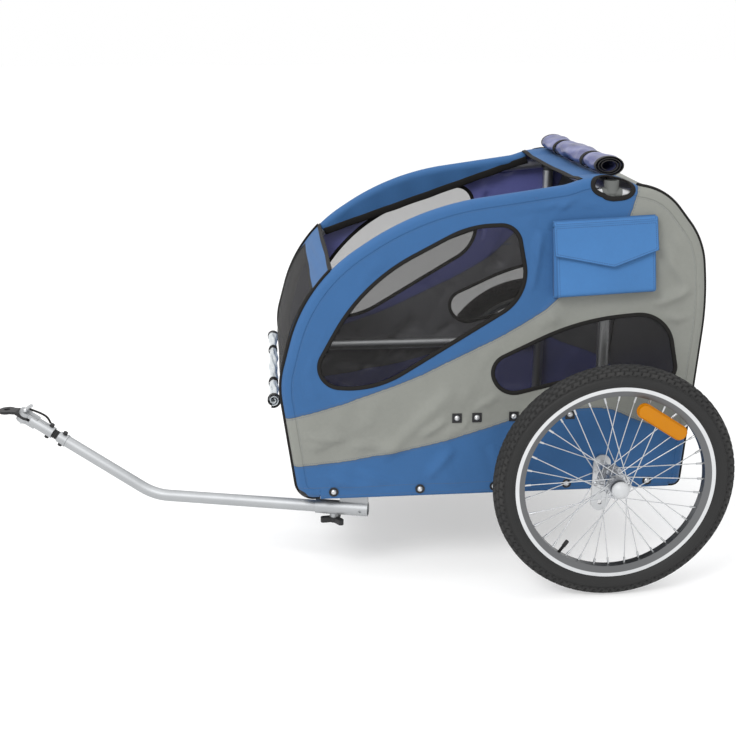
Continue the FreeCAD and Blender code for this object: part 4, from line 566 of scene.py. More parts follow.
def fitted(made, slot, *nodes, body="frame"):
    """Seat a finished piece: attach it to its body and hide the CAD nodes that it stands for; the slot is not
    used.
    """
    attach(made, body)
    if nodes:
        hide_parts(*nodes)
    return made


SIDE_CELL, BAND_LAP = 0.0045, 0.006
hem_path = np.vstack([shoulder, [[shoulder[-1, 0], 0.0], [shoulder[0, 0], 0.0]]])
sheet_line = spaced(np.vstack([hem_path, hem_path[:1]]), 0.002)[:-1]
side_spots, side_faces = lattice(sheet_line, [*windows, port], SIDE_CELL)
side_relief = relief(side_spots)
band_number, band_reach = np.meshgrid(
    np.arange(len(rim_line)), np.linspace(-BAND_LAP, ROLL_LENGTH, 12), indexing="ij"
)
band_faces = grid_faces(*band_number.shape)
band_faces = band_faces[~in_port(band_number, band_reach).ravel()[band_faces].any(1)]
band_inset = np.clip(EDGE_ROUND - band_reach, 0, None)[..., None]
band_flat = (rim_line[:, None] + rim_in[:, None] * band_inset).reshape(-1, 2)
side_flat = np.vstack([side_spots, band_flat])
side_values = sewn_values(side_flat)
SIDES = ((-1, "left"), (1, "right"))
side_pieces = {}
for side, tag in SIDES:
    band = over_edge(band_number, band_reach, side).reshape(-1, 3)
    points = np.vstack([on_side(side_spots, -side_relief, side), band])
    faces = face_out(np.vstack([side_faces, band_faces + len(side_spots)]), side)
    made = build("side_cloth_" + tag, points, faces, side_flat, side_values)
    thicken(made, CLOTH, outer_cloth, coated_back)
    side_pieces[tag] = fitted(made, "cover_cloth", "side_cover_" + tag)

# Side windows: open black mesh sewn behind each window hole, stretched flat, with a
# folded black tape bound over the raw edge and lockstitched all round.


def mesh_cloth(least, span):
    """A diagonal net of threads: its cover goes from the least share, in the holes, up by the span."""
    def look(shade):
        x, y, z = shade.axes()
        threads = ((x + z + y) * 3140.0).sine().abs() + ((x - z + y) * 3140.0).sine().abs()
        patch = shade.noise(40.0)
        return {
            "Base Color": shade.blend(patch, (0.008, 0.0076, 0.0072, 1), (0.018, 0.017, 0.016, 1)),
            "Alpha": least + ((threads - 1.0) * 6.0).clip() * span,
            "Roughness": 0.60 + patch * 0.2,
        }
    return look


def webbing(shade):
    """Black tape with a fine crossed rib."""
    fine = shade.noise(220.0, 2.0)
    x, _, z = shade.axes()
    ribs = ((x + z) * 2600.0).sine() * ((x - z) * 2600.0).sine()
    return {
        "Base Color": shade.blend(fine, (0.005, 0.0046, 0.0043, 1), (0.012, 0.011, 0.010, 1)),
        "Roughness": 0.62 + fine * 0.2,
        "Bump": (ribs + fine, 0.3, 0.0006),
    }


mesh_finish = finish("open_mesh", mesh_cloth(0.38, 0.30), Specular_IOR_Level=0.2)
tape_finish = finish("binding_tape", webbing, Specular_IOR_Level=0.2)


def closed_run(points):
    """Directions along a closed path, from the neighbours of each point."""
    return unit(np.roll(points, -1, 0) - np.roll(points, 1, 0))


def outward_faces(points, faces):
    """Faces turned so that a closed shell encloses a positive volume."""
    a, b, c = (points[faces[:, corner]] for corner in (0, 1, 2))
    return faces if (np.cross(b, c) * a).sum() > 0 else faces[:, ::-1]


def ribbon(path, across, outward, half_width, half_thick, closed=False):
    """A tape along a path, as points and outward faces: a flat rounded section of |cos|^0.6,
    |sin|^0.8 about each point. Across and outward are one way, or one for each point."""
    turn = np.linspace(0, 2 * np.pi, 13)[:-1]
    wide = np.sign(np.cos(turn)) * np.abs(np.cos(turn)) ** 0.6 * half_width
    thick = np.sign(np.sin(turn)) * np.abs(np.sin(turn)) ** 0.8 * half_thick
    across, outward = (np.broadcast_to(way, path.shape)[:, None] for way in (across, outward))
    points = path[:, None] + across * wide[None, :, None] + outward * thick[None, :, None]
    rows, columns = points.shape[:2]
    faces = grid_faces(rows, columns, closed, True)
    if not closed:
        near = np.arange(6)
        caps = np.stack([near[:-1], near[1:], 11 - near[1:], 11 - near[:-1]], 1)
        faces = np.vstack([faces, caps, caps[:, ::-1] + (rows - 1) * columns])
    points = points.reshape(-1, 3)
    return points, outward_faces(points - points.mean(0), faces)


def joined(skins):
    """Points and faces of several skins as one."""
    starts = np.cumsum([0] + [len(points) for points, _ in skins])
    faces = [faces + start for (_, faces), start in zip(skins, starts)]
    return np.vstack([points for points, _ in skins]), np.vstack(faces)


def bound(name, tapes, *nodes):
    """One piece of black tape from several ribbons."""
    made = build(name, *joined(tapes))
    made.data.materials.append(tape_finish)
    return fitted(made, "strap_black", *nodes)


def cut_area(made):
    """Flat area of a stretched piece's cut: the sum of its faces, without the thickness."""
    areas = np.empty(len(made.data.polygons))
    made.data.polygons.foreach_get("area", areas)
    return float(areas.sum())


def stretched(made, flat, *rests_on, **more):
    """Work out the area of a stretched sheet's cut, which is not kept; its flat size, what it rests on and
    the rest are not used.
    """
    cut_area(made)


def side_out(side):
    """The outward way of a side's plane."""
    return on_side(np.zeros(2), -1.0, side) - on_side(np.zeros(2), 0.0, side)


WINDOW_CELL, PANE_DEPTH, PANE_BULGE = 0.008, 0.0012, 0.003
WINDOW_TAPE, PORT_TAPE = (0.0044, 0.0027), (0.0048, 0.0019)
for side, tag in SIDES:
    tapes, panes, pane_faces, start = [], [], [], 0
    for curve in windows:
        spots, faces = lattice(curve, [], WINDOW_CELL)
        gap = nearest(spots, curve)[0]
        panes.append(on_side(spots, PANE_DEPTH - PANE_BULGE * eased(gap, 0.0, 0.09), side))
        pane_faces.append(face_out(faces, side) + np.where(faces < 0, 0, start))
        start += len(spots)
        path, out = on_side(curve, np.full(len(curve), 0.0008), side), side_out(side)
        tapes.append(ribbon(path, np.cross(closed_run(path), out), out, *WINDOW_TAPE, True))
    path = over_edge(port_number, port_reach, side)
    further = over_edge(port_number, port_reach + 0.002, side)
    beyond = over_edge(port_number + 1.0, port_reach, side)
    out = unit(np.cross(further - path, beyond - path))
    out = np.where((out * [0, side, 1]).sum(1, keepdims=True) < 0, -out, out)
    tapes.append(ribbon(path, unit(np.cross(closed_run(path), out)), out, *PORT_TAPE, True))
    pane = build("window_mesh_" + tag, np.vstack(panes), np.vstack(pane_faces))
    pane.data.materials.append(mesh_finish)
    fitted(pane, "mesh", "side_windows")
    stretched(pane, (0.46, 0.34), "side_cloth_" + tag)
    edge = bound("window_binding_" + tag, tapes)
    stretched(
        side_pieces[tag], (BODY_LENGTH, BODY_HEIGHT), "front_hoop_" + tag, "rear_hoop_" + tag,
        with_pieces=[edge],
    )

# Front and back: cloth panels between the two sides in the same blue and grey, with a
# mesh panel in front, and black piping sewn in where they meet the sides.

ACROSS = np.array([0.0, 1.0, 0.0])


def rim_out(number):
    """The outward way in the trailer's frame at one or more samples of the rim."""
    return -np.insert(rim_in[number], 1, 0.0, axis=-1)


def across_body(first, last, columns, billow, low=0.0, high=1.0):
    """A panel between the sides: rows follow the rim, and columns cross the body from one share
    of its width to another. The cloth billows outward by a product of half sine waves."""
    number = np.arange(first, last + 1)
    left, right = (over_edge(number, np.full(len(number), ROLL_LENGTH), side) for side in (-1, 1))
    share = np.linspace(low, high, columns)[None, :, None]
    points = left[:, None] * (1 - share) + right[:, None] * share
    along = np.linspace(0, 1, len(number))
    swell = billow * np.sin(np.pi * along)[:, None] ** 0.6 * np.sin(np.pi * share[..., 0]) ** 0.6
    ripple = 0.0012 * np.sin(9 * share[..., 0] + 14 * along[:, None]) * np.sin(np.pi * share[..., 0])
    dip = hump[number][:, None] * eased(np.minimum(share, 1 - share)[..., 0], 0.04, 0.16)
    points = points + rim_out(number)[:, None] * (swell + ripple - dip)[..., None]
    return points, rim_line[number].repeat(columns, 0)


def panel(name, strips, slot, *nodes, hole=None):
    """A cloth panel from one or more strips across the body, less the faces at a hole."""
    spots, faces = joined([(points.reshape(-1, 3), grid_faces(*points.shape[:2])) for points, _ in strips])
    if hole is not None:
        faces = faces[~hole.ravel()[faces].any(1)]
    made = build(name, spots, faces, None, sewn_values(np.vstack([flat for _, flat in strips])))
    thicken(made, CLOTH, outer_cloth, coated_back)
    return fitted(made, slot, *nodes)


NET_INSET = 0.05
NET_TAPE, PIPING, PIPING_GAP = (0.0048, 0.0016), 0.0036, 26
REAR_COLUMNS, REAR_WIDTH = 110, 0.52
last = len(rim_line) - 1
front = panel("front_cloth", [across_body(0, mesh_foot, 90, 0.004)], "cover_cloth", "front_panel")
stretched(front, (0.58, 0.30), "front_cross_tube")
net_points, _ = across_body(mesh_foot, mesh_top, 60, 0.010, NET_INSET, 1 - NET_INSET)
front_net = build("front_net", net_points.reshape(-1, 3), grid_faces(*net_points.shape[:2]))
front_net.data.materials.append(finish("front_mesh", mesh_cloth(0.70, 0.25), Specular_IOR_Level=0.2))
fitted(front_net, "mesh", "front_mesh")
stretched(front_net, (0.52, 0.23), "front_hoop_left", "front_hoop_right")
strips = [across_body(mesh_top, opening_front, 60, 0.003)]
for low, high in ((0.0, NET_INSET), (1 - NET_INSET, 1.0)):
    strips.append(across_body(mesh_foot, mesh_top, 6, 0.010, low, high))
collar_edge = strips[0][0][-1]
stretched(panel("front_collar", strips, "cover_cloth"), (0.57, 0.11), "front_hoop_left", "front_hoop_right")
rear_strip = across_body(opening_rear, last, REAR_COLUMNS, 0.003)
rear_edge = rear_strip[0][0]
column = np.arange(REAR_COLUMNS)
edge_gap = np.minimum(column, column[::-1]) / (REAR_COLUMNS - 1) * REAR_WIDTH
hole = in_port(np.arange(opening_rear, last + 1)[:, None], ROLL_LENGTH + edge_gap[None])
rear = panel("rear_cloth", [rear_strip], "rear_cloth", "rear_panel", hole=hole)
stretched(rear, (0.58, 0.98), "rear_hoop_left", "rear_hoop_right")
cords = []
for side, _ in SIDES:
    for low, high in ((0, opening_front), (port_at + PIPING_GAP, last)):
        number = np.arange(low, high + 1)
        path, out = over_edge(number, np.full(len(number), ROLL_LENGTH), side), rim_out(number)
        cords.append(ribbon(path + out * CLOTH, ACROSS, out, PIPING, PIPING))
for column in (0, -1):
    out = rim_out(np.arange(mesh_foot, mesh_top + 1))
    cords.append(ribbon(net_points[:, column], ACROSS, out, *NET_TAPE))
for path, number in ((net_points[0], mesh_foot), (net_points[-1], mesh_top)):
    cords.append(ribbon(path, np.cross(ACROSS, rim_out(number)), rim_out(number), *NET_TAPE))
bound("edge_piping", cords)

# Opening edges: the side cloth goes on over each hoop and hangs inside as a flap down to
# a straight hem, which is bound with black tape all round the opening.

# Painted shadow: the black tape on the side hems is wider than the binding alone, so that it also stands for
# the shade under each flap's hem.
SIDE_HEM_AND_SHADE, END_HEM = (0.0085, 0.0018), (0.0050, 0.0018)
flap_number = np.arange(opening_front, opening_rear + 1)
HEM_FRONT, HEM_REAR = (
    rim_line[number] + rim_in[number] * (EDGE_ROUND + 0.004) for number in (opening_front, opening_rear)
)
hem_way = HEM_REAR - HEM_FRONT
hem_tapes = []
for side, tag in SIDES:
    turn = np.linspace(np.pi / 2, np.pi, 9)
    inset = EDGE_ROUND * (1 - np.sin(turn))
    start_flat = rim_line[flap_number][:, None] + rim_in[flap_number][:, None] * inset[None, :, None]
    start_depth = np.broadcast_to(EDGE_ROUND * (1 - np.cos(turn)), start_flat.shape[:2])
    lower = start_flat[:, -1]
    share = np.clip(((lower - HEM_FRONT) @ hem_way) / (hem_way @ hem_way), 0, 1)
    hem = HEM_FRONT + share[:, None] * hem_way
    fall = np.linspace(0, 1, 12)[1:]
    hang = lower[:, None] + (hem - lower)[:, None] * fall[None, :, None]
    hang_depth = 2 * EDGE_ROUND + 0.002 * np.sin(share * 40)[:, None] * fall[None]
    flat = np.concatenate([start_flat, hang], 1)
    depth = np.concatenate([start_depth, hang_depth], 1)
    points = on_side(flat, depth, side)
    made = build(
        "opening_flap_" + tag, points.reshape(-1, 3), face_out(grid_faces(*points.shape[:2]), side),
        None, sewn_values(rim_line[flap_number].repeat(points.shape[1], 0)),
    )
    thicken(made, THIN_CLOTH, outer_cloth, coated_back)
    fitted(made, "cover_cloth", "opening_edges")
    stretched(made, (0.60, 0.11), "front_hoop_" + tag)
    path, out = points[:, -1], -side_out(side)
    hem_tapes.append(ribbon(path, np.cross(unit(np.gradient(path, axis=0)), out), out, *SIDE_HEM_AND_SHADE))
for path, number in ((collar_edge, opening_front), (rear_edge, opening_rear)):
    hem_tapes.append(ribbon(path, np.cross(ACROSS, rim_out(number)), rim_out(number), *END_HEM))
bound("opening_binding", hem_tapes)

# Pockets: a soft bag in blue with boxed sides sewn to each side, under a folded header
# strip, and a pointed flap that hangs over its mouth from the strip's fold.

POCKET_TILT = np.radians(2.4)
POCKET_HALF, POCKET_HEIGHT, POCKET_TOP = 0.105, 0.144, 0.156
POCKET_SLOPE = np.arctan(0.017 / POCKET_HEIGHT)
POCKET_PLACE = (AXLE_X - 0.01323, 0.4235)
HEADER_TOP, FLAP_HALF, FLAP_LID = POCKET_TOP + 0.002, POCKET_HALF + 0.001, 0.0085
BAG_FOOT, BAG_MOUTH, BAG_GAP, FLANK = 0.0265, 0.0098, 0.0008, 0.86
FLAP_DROP, FLAP_SLANT = 0.094, 0.028


def on_pocket(along, out, up, side):
    """A point of the pocket's own frame, which is tilted on the side's plane."""
    c, s = np.cos(POCKET_TILT), np.sin(POCKET_TILT)
    flat = np.stack([POCKET_PLACE[0] + along * c - up * s, POCKET_PLACE[1] + along * s + up * c], -1)
    return on_side(flat, -out, side)


def pocket_cloth(shade):
    """Plain blue cloth, brighter than the sides, with a row of stitches and painted shade along its edges and
    folds.
    """
    edge = shade.attribute("edge")
    x, z, fine, tint, pucker, threads = woven(shade, 9.0, 0.84, 0.22)
    base = shade.blend(1.0, (BLUE[0] * 1.5, BLUE[1] * 1.45, BLUE[2] * 1.4, 1), tint, "MULTIPLY")
    dash = ((x + z) * 250.0).fract() < DASH_SHARE
    stitch = ((edge - 0.0045).abs() < STITCH_HALF) * dash
    fold = (1.0 - edge / 0.0022).clip()
    shown = shade.blend(stitch * 0.6, base, (0.02, 0.04, 0.10, 1))
    # Painted shade: the cloth darkens towards navy within about 2 mm of each edge and fold.
    shown = shade.blend(fold * 0.55, shown, (0.012, 0.035, 0.09, 1))
    bump = threads * 0.35 + pucker + stitch * 1.2
    return {"Base Color": shown, "Roughness": 0.66 + fine * 0.12, "Bump": (bump, 0.35, 0.0010)}


def pocket_piece(name, along, out, up, edge, side, facing):
    """A sewn piece of the pocket from a grid of places, with each point's distance to an edge."""
    points = on_pocket(along, out, up, side).reshape(-1, 3)
    return build(name, points, face_out(grid_faces(*out.shape), facing), None, {"edge": edge.ravel()})


pocket_finish = finish("pocket_cloth", pocket_cloth, Sheen_Weight=0.04, Specular_IOR_Level=0.3)
for side, tag in SIDES:
    level = np.linspace(0, 1, 40)
    walk = np.linspace(-1, 1, 121)
    depth = BAG_FOOT + (BAG_MOUTH - BAG_FOOT) * level
    flank = np.clip((1 - np.abs(walk)) / (1 - FLANK), 0, 1)
    along = np.sign(walk) * (POCKET_HALF - 0.006 * (1 - np.cos(np.pi / 2 * flank)))
    along = along * np.where(np.abs(walk) > FLANK, 1, np.abs(walk) / FLANK)
    reach = np.sin(np.pi / 2 * flank) ** 0.8
    crown = np.cos(np.pi / 2 * np.clip(np.abs(walk) / FLANK, 0, 1))
    foot = np.clip(level / 0.07, 0, 1)
    out = BAG_GAP + depth[:, None] * reach[None] * np.sin(np.pi / 2 * foot)[:, None] ** 0.7
    out = out + 0.0035 * crown[None] * np.sin(np.pi * level)[:, None]
    up = POCKET_HEIGHT * level[:, None] + 0.0012 * np.sin(walk * 9)[None] * level[:, None]
    px = np.broadcast_to(along[None], out.shape)
    edge = np.minimum(np.abs(POCKET_HALF - 0.004 - np.abs(px)), POCKET_HEIGHT * level[:, None])
    bag = pocket_piece("pocket_bag_" + tag, px, out, up, edge, side, -side)
    thicken(bag, THIN_CLOTH, pocket_finish, coated_back)
    strip_x, strip_up = np.meshgrid(
        np.linspace(-POCKET_HALF, POCKET_HALF, 60), np.linspace(POCKET_HEIGHT, HEADER_TOP, 7), indexing="ij"
    )
    rise = (strip_up - POCKET_HEIGHT) / (HEADER_TOP - POCKET_HEIGHT)
    out = BAG_GAP + 0.0016 * np.sin(np.pi * rise)
    header = pocket_piece("pocket_header_" + tag, strip_x, out, strip_up, HEADER_TOP - strip_up, side, side)
    thicken(header, 0.0006, pocket_finish)
    fitted(bag, "cover_cloth", "pocket_" + tag)
    fitted(header, "cover_cloth")
    leaf_x, fall = np.meshgrid(
        np.linspace(-FLAP_HALF, FLAP_HALF, 90), np.linspace(0, 1, 40), indexing="ij"
    )
    tip = 0.06 * 2 * POCKET_HALF
    slant = np.where(leaf_x < tip, (tip - leaf_x) / (tip + POCKET_HALF), (leaf_x - tip) / (POCKET_HALF - tip))
    drop = FLAP_DROP - FLAP_SLANT * np.clip(slant, 0, 1)
    walk = fall * (drop + FLAP_LID)
    bend = np.clip((walk - FLAP_LID + 0.005) / 0.010, 0, 1)
    angle = bend * (np.pi / 2 - POCKET_SLOPE)
    step = np.diff(walk, axis=1)
    middle = (angle[:, 1:] + angle[:, :-1]) / 2
    out, up = (np.pad(np.cumsum(step * way(middle), 1), ((0, 0), (1, 0))) for way in (np.cos, np.sin))
    out, up = out + 0.0030, POCKET_TOP - up
    out = out + 0.0016 * np.sin(leaf_x * 30 + 1.0) * fall**2 + 0.002 * fall**3
    out = out + 0.0016 + 0.0030 * fall**2
    edge = np.minimum(FLAP_HALF - np.abs(leaf_x), drop + FLAP_LID - walk)
    edge = np.minimum(edge, np.abs(walk - 0.016) + 0.0005)
    leaf = pocket_piece("pocket_flap_cloth_" + tag, leaf_x, out, up, edge, side, -side)
    thicken(leaf, 0.0018, pocket_finish)
    fitted(leaf, "cover_cloth", "pocket_flap_" + tag, body="flap_" + tag)

# Rolled covers: the top cover is rolled up behind the opening with its coated side out,
# and the clear front cover is rolled up at the front. Webbing straps hold both.


def along_edge(first, second, x):
    """A point on the straight edge between two outline corners at x, and its outward way."""
    ends = np.array([
        (BODY_X + along * BODY_LENGTH, BODY_BOTTOM + up * BODY_HEIGHT * np.cos(LEAN))
        for along, up, _ in (OUTLINE[first], OUTLINE[second])
    ])
    run = ends[1] - ends[0]
    way = unit(run)
    return ends[0] + run * (x - ends[0, 0]) / run[0], np.array([-way[1], way[0]])


def coated(shade):
    """Creased coated cloth with a dark bound edge, in three blues: painted navy shade, its own blue, painted
    lilac highlights.
    """
    edge = shade.attribute("edge")
    crease = shade.noise(26.0, 5.0, (1, 0.45, 1))
    patch = shade.noise(9.0, 3.0)
    # Painted light: low crease values give navy shade and high ones a pale lilac highlight.
    tone = shade.node("ValToRGB", {0: crease * 0.7 + patch * 0.3}, stops=(
        (0.34, (0.014, 0.016, 0.075)), (0.50, (0.085, 0.095, 0.23)), (0.66, (0.24, 0.25, 0.40)),
    ))
    hemmed = (0.011 - edge) > 0.0
    return {
        "Base Color": shade.blend(hemmed, tone, (0.016, 0.015, 0.015, 1)),
        "Roughness": 0.26 + patch * 0.2 + hemmed * 0.3,
        "Bump": (crease + patch, 0.7, 0.006),
    }


def film(shade):
    """Clear creased film with a black bound edge on its outer turn."""
    edge = shade.attribute("edge")
    crease = shade.noise(40.0, 4.0, (1, 0.4, 1))
    hemmed = ((0.014 - edge) > 0.0) * (shade.attribute("turn") < 1.0)
    return {
        "Base Color": shade.blend(hemmed, (0.62, 0.66, 0.68, 1), (0.008, 0.0075, 0.0075, 1)),
        "Alpha": 0.62 + crease * 0.3 + hemmed,
        "Roughness": 0.08 + crease * 0.18 + hemmed * 0.4,
        "Bump": (crease, 0.4, 0.003),
    }


ROLL_START = -1.9
ROLL_COLUMNS, RING_STEPS = 161, 72


def rolled(centre, radius, oval, turns, pitch, length, straps, slack, flare):
    """A rolled sheet: a spiral of the angle carried across the body, pressed oval and pinched by
    its straps, with bound ends that flare. Slow waves crumple it, more on the outer turns.
    Returns the points, the distance to the nearer end and the reach of the spiral."""
    angle = np.linspace(0, 2 * np.pi * turns, int(RING_STEPS * turns) + 1)[:, None]
    y = np.linspace(-length / 2, length / 2, ROLL_COLUMNS)[None]
    fade = 1 - angle / angle.max()
    pinch = sum(np.exp(-(((y - strap) / 0.030) ** 2)) for strap in straps)
    crumple = np.sin(3 * angle + 31 * y) + 0.8 * np.sin(5 * angle - 53 * y + 1.7)
    crumple = crumple + 0.6 * np.sin(2 * angle + 83 * y)
    edge = length / 2 - np.abs(y) + 0 * angle
    end = 1 - eased(edge, 0.008, 0.022)
    reach = radius - pitch * angle / (2 * np.pi) - slack * pinch * fade
    reach = reach + 0.0013 * crumple * fade * (1 - 0.9 * pinch) * (1 - end) + flare * end * fade
    points = roll_place(centre, oval, reach, angle, y + 0 * reach)
    return points, edge, reach


def roll_place(centre, oval, reach, angle, y):
    """Points about a roll's middle line, at a reach and an angle, with the section pressed oval."""
    around = angle + ROLL_START
    x, z = centre[0] + oval[0] * reach * np.cos(around), centre[1] + oval[1] * reach * np.sin(around)
    return np.stack([x, y, z], -1)


FRONT_ROLL_HEIGHT = 0.208
TOP_SEAT, top_out = along_edge(4, 5, AXLE_X - 0.01203)
(foot, _, _), (knee, knee_height, _) = OUTLINE[:2]
foot_share = foot + (knee - foot) * FRONT_ROLL_HEIGHT / (knee_height * BODY_HEIGHT)
FRONT_SEAT, front_out = along_edge(0, 1, BODY_X + foot_share * BODY_LENGTH)
ROLLS = (
    (
        "top_cover_roll", TOP_SEAT + top_out * 0.0235 + [0.004, 0.0], 0.0250, (1.28, 0.82), 3.0, 0.0045,
        0.464, coated, "top_roll", 0.0045, 0.001,
    ),
    (
        "front_cover_roll", FRONT_SEAT + front_out * 0.0191, 0.0108, (1.0, 1.0), 2.5, 0.0026,
        0.500, film, "front_roll", 0.0012, 0.0058,
    ),
)
strap_rings = []
for name, centre, radius, oval, turns, pitch, length, look, node, slack, flare in ROLLS:
    straps = (-length / 4, length / 4)
    points, edge, reach = rolled(centre, radius, oval, turns, pitch, length, straps, slack, flare)
    made = build(name, points.reshape(-1, 3), grid_faces(*points.shape[:2])[:, ::-1], None, {
        "edge": edge.ravel(), "turn": np.linspace(0, turns, len(points)).repeat(points.shape[1]),
    })
    thicken(made, CLOTH, finish(name, look))
    fitted(made, "roll_film", node)
    cut_area(made) / length
    turn = np.linspace(0, 2 * np.pi, RING_STEPS + 1)[:-1]
    for y in straps:
        column = round((y / length + 0.5) * (ROLL_COLUMNS - 1))
        ring = reach[:RING_STEPS, column] + 0.0010 + pitch * turn / (2 * np.pi) * eased(turn, 4.2, 6.2)
        path, further = (
            roll_place(centre, oval, ring + more, turn, np.full(RING_STEPS, y)) for more in (0.0, 0.01)
        )
        strap_rings.append(ribbon(path, ACROSS, unit(further - path), 0.010, 0.0009, True))
bound("roll_webbing", strap_rings, "roll_straps")

# Bolts and rear reflectors: domed steel bolts pinch the cloth to the tubes, and two red
# prismatic lenses are riveted to the back.


def lens(deep, bright):
    """A prismatic lens: crossed cells between a deep and a bright colour."""
    def look(shade):
        x, y, z = shade.axes()
        cells = ((x + z) * 1400.0).sine() * ((x - z) * 1400.0).sine() + (y * 1400.0).sine() * 0.5
        patch = shade.noise(60.0)
        share = (cells * 0.4 + 0.5) * 0.8 + patch * 0.2
        return {
            "Base Color": shade.blend(share.clip(), (*deep, 1), (*bright, 1)),
            "Roughness": 0.10 + patch * 0.1,
            "Bump": (cells, 0.35, 0.0008),
        }
    return look


steel_finish = finish("bright_steel", grained(
    (0.50, 0.51, 0.52), (0.62, 0.63, 0.64), 0.22, 0.2, 700.0, 40.0, (0.06, 0.0003),
), Metallic=1.0)
coat(steel_finish, "frame_bolts", "stub_axles", "bearings_left", "bearings_right", "hitch_pin")
coat(finish("red_lens", lens((0.14, 0.003, 0.003), (0.40, 0.012, 0.010)), Coat_Weight=0.4), "rear_reflectors")

# Wheels: a black rubber tyre with a blocky tread on a machined aluminium rim, laced with
# steel spokes to a polished hub. An amber reflector clips across the spokes.

TYRE_RADIUS, TYRE_HALF, TRACK_HALF = 0.252, 0.023, 0.390
TREAD_BLOCKS, TREAD_DEPTH, TREAD_ROW = 84, 0.0042, 0.0082
BRAKE_TRACK, VALVE_TURN = 0.2002, np.radians(235.0)
STEM_PLACE = np.array([0.1877, 0.1877, 0.1730, 0.1728, 0.1590, 0.1577, 0.1577])
STEM_RADIUS = np.array([0.0, 0.0032, 0.0032, 0.0042, 0.0042, 0.0034, 0.0])


def rubber(shade):
    """Black rubber with a fine grain and worn grey tread."""
    tread = shade.attribute("tread")
    fine = shade.noise(260.0, 3.0)
    dust = shade.noise(18.0, 4.0)
    tone = shade.blend(fine, (0.010, 0.010, 0.010, 1), (0.020, 0.020, 0.020, 1))
    worn = (dust - 0.45).clip() * tread * 1.2
    return {
        "Base Color": shade.blend(worn.clip(), tone, (0.045, 0.043, 0.041, 1)),
        "Roughness": 0.58 + fine * 0.22,
        "Bump": (fine, 0.25, 0.0008),
    }


def machined(shade):
    """Rim: a bright brake track above 200 mm from the axle, and below it painted shade: the box section in
    dark grey.
    """
    x, _, z = shade.axes()
    x, z = x - AXLE_X, z - TYRE_RADIUS
    reach = shade.math("SQRT", x * x + z * z)
    rings = (reach * 9000.0).sine()
    track = ((reach - BRAKE_TRACK) * 1500.0).clip()
    patch = shade.noise(24.0)
    bright = shade.blend(patch, (0.56, 0.57, 0.58, 1), (0.68, 0.69, 0.70, 1))
    return {
        # Painted shade: the box section inside the brake track is dark grey.
        "Base Color": shade.blend(track, (0.150, 0.153, 0.157, 1), bright),
        "Roughness": 0.34 - track * 0.10 + patch * 0.08,
        "Bump": (rings * track, 0.05, 0.0002),
    }


rim_finish = finish("machined_rim", machined, Metallic=1.0)
rubber_finish = finish("tyre_rubber", rubber, Specular_IOR_Level=0.35)
polished_finish = finish("polished_aluminium", grained(
    (0.38, 0.39, 0.41), (0.47, 0.48, 0.50), 0.22, 0.14, 420.0, 24.0, (0.02, 0.0003), (1, 0.15, 1),
), Metallic=1.0)
amber_finish = finish("amber_lens", lens((0.40, 0.13, 0.0), (0.56, 0.22, 0.0)), Specular_IOR_Level=0.2)
button_finish = finish("button_grey", moulded((0.42, 0.43, 0.44), (0.52, 0.53, 0.54), 0.34))


def tread_height(arc, count):
    """Height of the tread, 1 on a block and 0 in a groove: five rows of blocks, each row
    half a block on from the next, and slanted shoulder lugs that run out on the wall."""
    spot = arc / TREAD_ROW
    row, lane = np.abs(spot), np.round(spot)
    side_groove = eased(np.abs(spot - lane), 0.36, 0.46)
    slant = count + 0.5 * np.mod(lane, 2) + 0.16 * spot
    cross = np.abs(np.mod(slant, 1) - 0.5)
    cross_groove = eased(cross, 0.36, 0.44)
    crown = (1 - side_groove) * (1 - cross_groove)
    return np.where(row < 2.6, crown, (1 - cross_groove) * eased(-row, -4.2, -3.4))


def turned(start, along, over, across, places, radii, sides):
    """A turned solid, as points and outward faces: rings at places along a line from a start,
    each of its radius times over * cos + across * sin."""
    turn = np.linspace(0, 2 * np.pi, sides + 1)[:-1, None]
    ring = over * np.cos(turn) + across * np.sin(turn)
    points = (start + along * places[:, None, None] + ring * radii[:, None, None]).reshape(-1, 3)
    return points, outward_faces(points - points.mean(0), grid_faces(len(places), sides, False, True))


def rubber_piece(name, points, faces, tread):
    """A piece of rubber with a share of worn tread at each point."""
    made = build(name, points, faces, None, {"tread": tread})
    made.data.materials.append(rubber_finish)
    return made


section_turn = np.linspace(-2.20, 2.20, 67)
tread_turn = np.linspace(0, 2 * np.pi, TREAD_BLOCKS * 10 + 1)[:-1]
arc = section_turn * TYRE_HALF
count = tread_turn * TREAD_BLOCKS / (2 * np.pi)
lug = tread_height(arc[:, None], count[None])
section = TYRE_HALF - TREAD_DEPTH * (1 - lug) * eased(-np.abs(arc), -0.037, -0.031)[:, None]
wall = 0.0004 * np.sin(np.abs(arc) * 2600) * eased(np.abs(arc), 0.034, 0.037)
section = section + wall[:, None]
across = section * np.sin(section_turn)[:, None]
radius = TYRE_RADIUS - TYRE_HALF + section * np.cos(section_turn)[:, None]
bead_in = np.array([[0.2035, 0.0126], [0.2035, 0.0086], [0.2260, 0.0086], [0.2440, 0.0060]])
bead_in = np.vstack([bead_in, bead_in[::-1] * [1, -1]])
inner = np.repeat(bead_in.T[..., None], len(tread_turn), 2)
radius, across = np.vstack([radius, inner[0]]), np.vstack([across, inner[1]])
tread_value = np.vstack([lug * eased(-np.abs(arc), -0.034, -0.026)[:, None], 0 * inner[0]])
valve_out = np.array([np.cos(VALVE_TURN), 0, np.sin(VALVE_TURN)])
valve_over = np.array([-np.sin(VALVE_TURN), 0, np.cos(VALVE_TURN)])
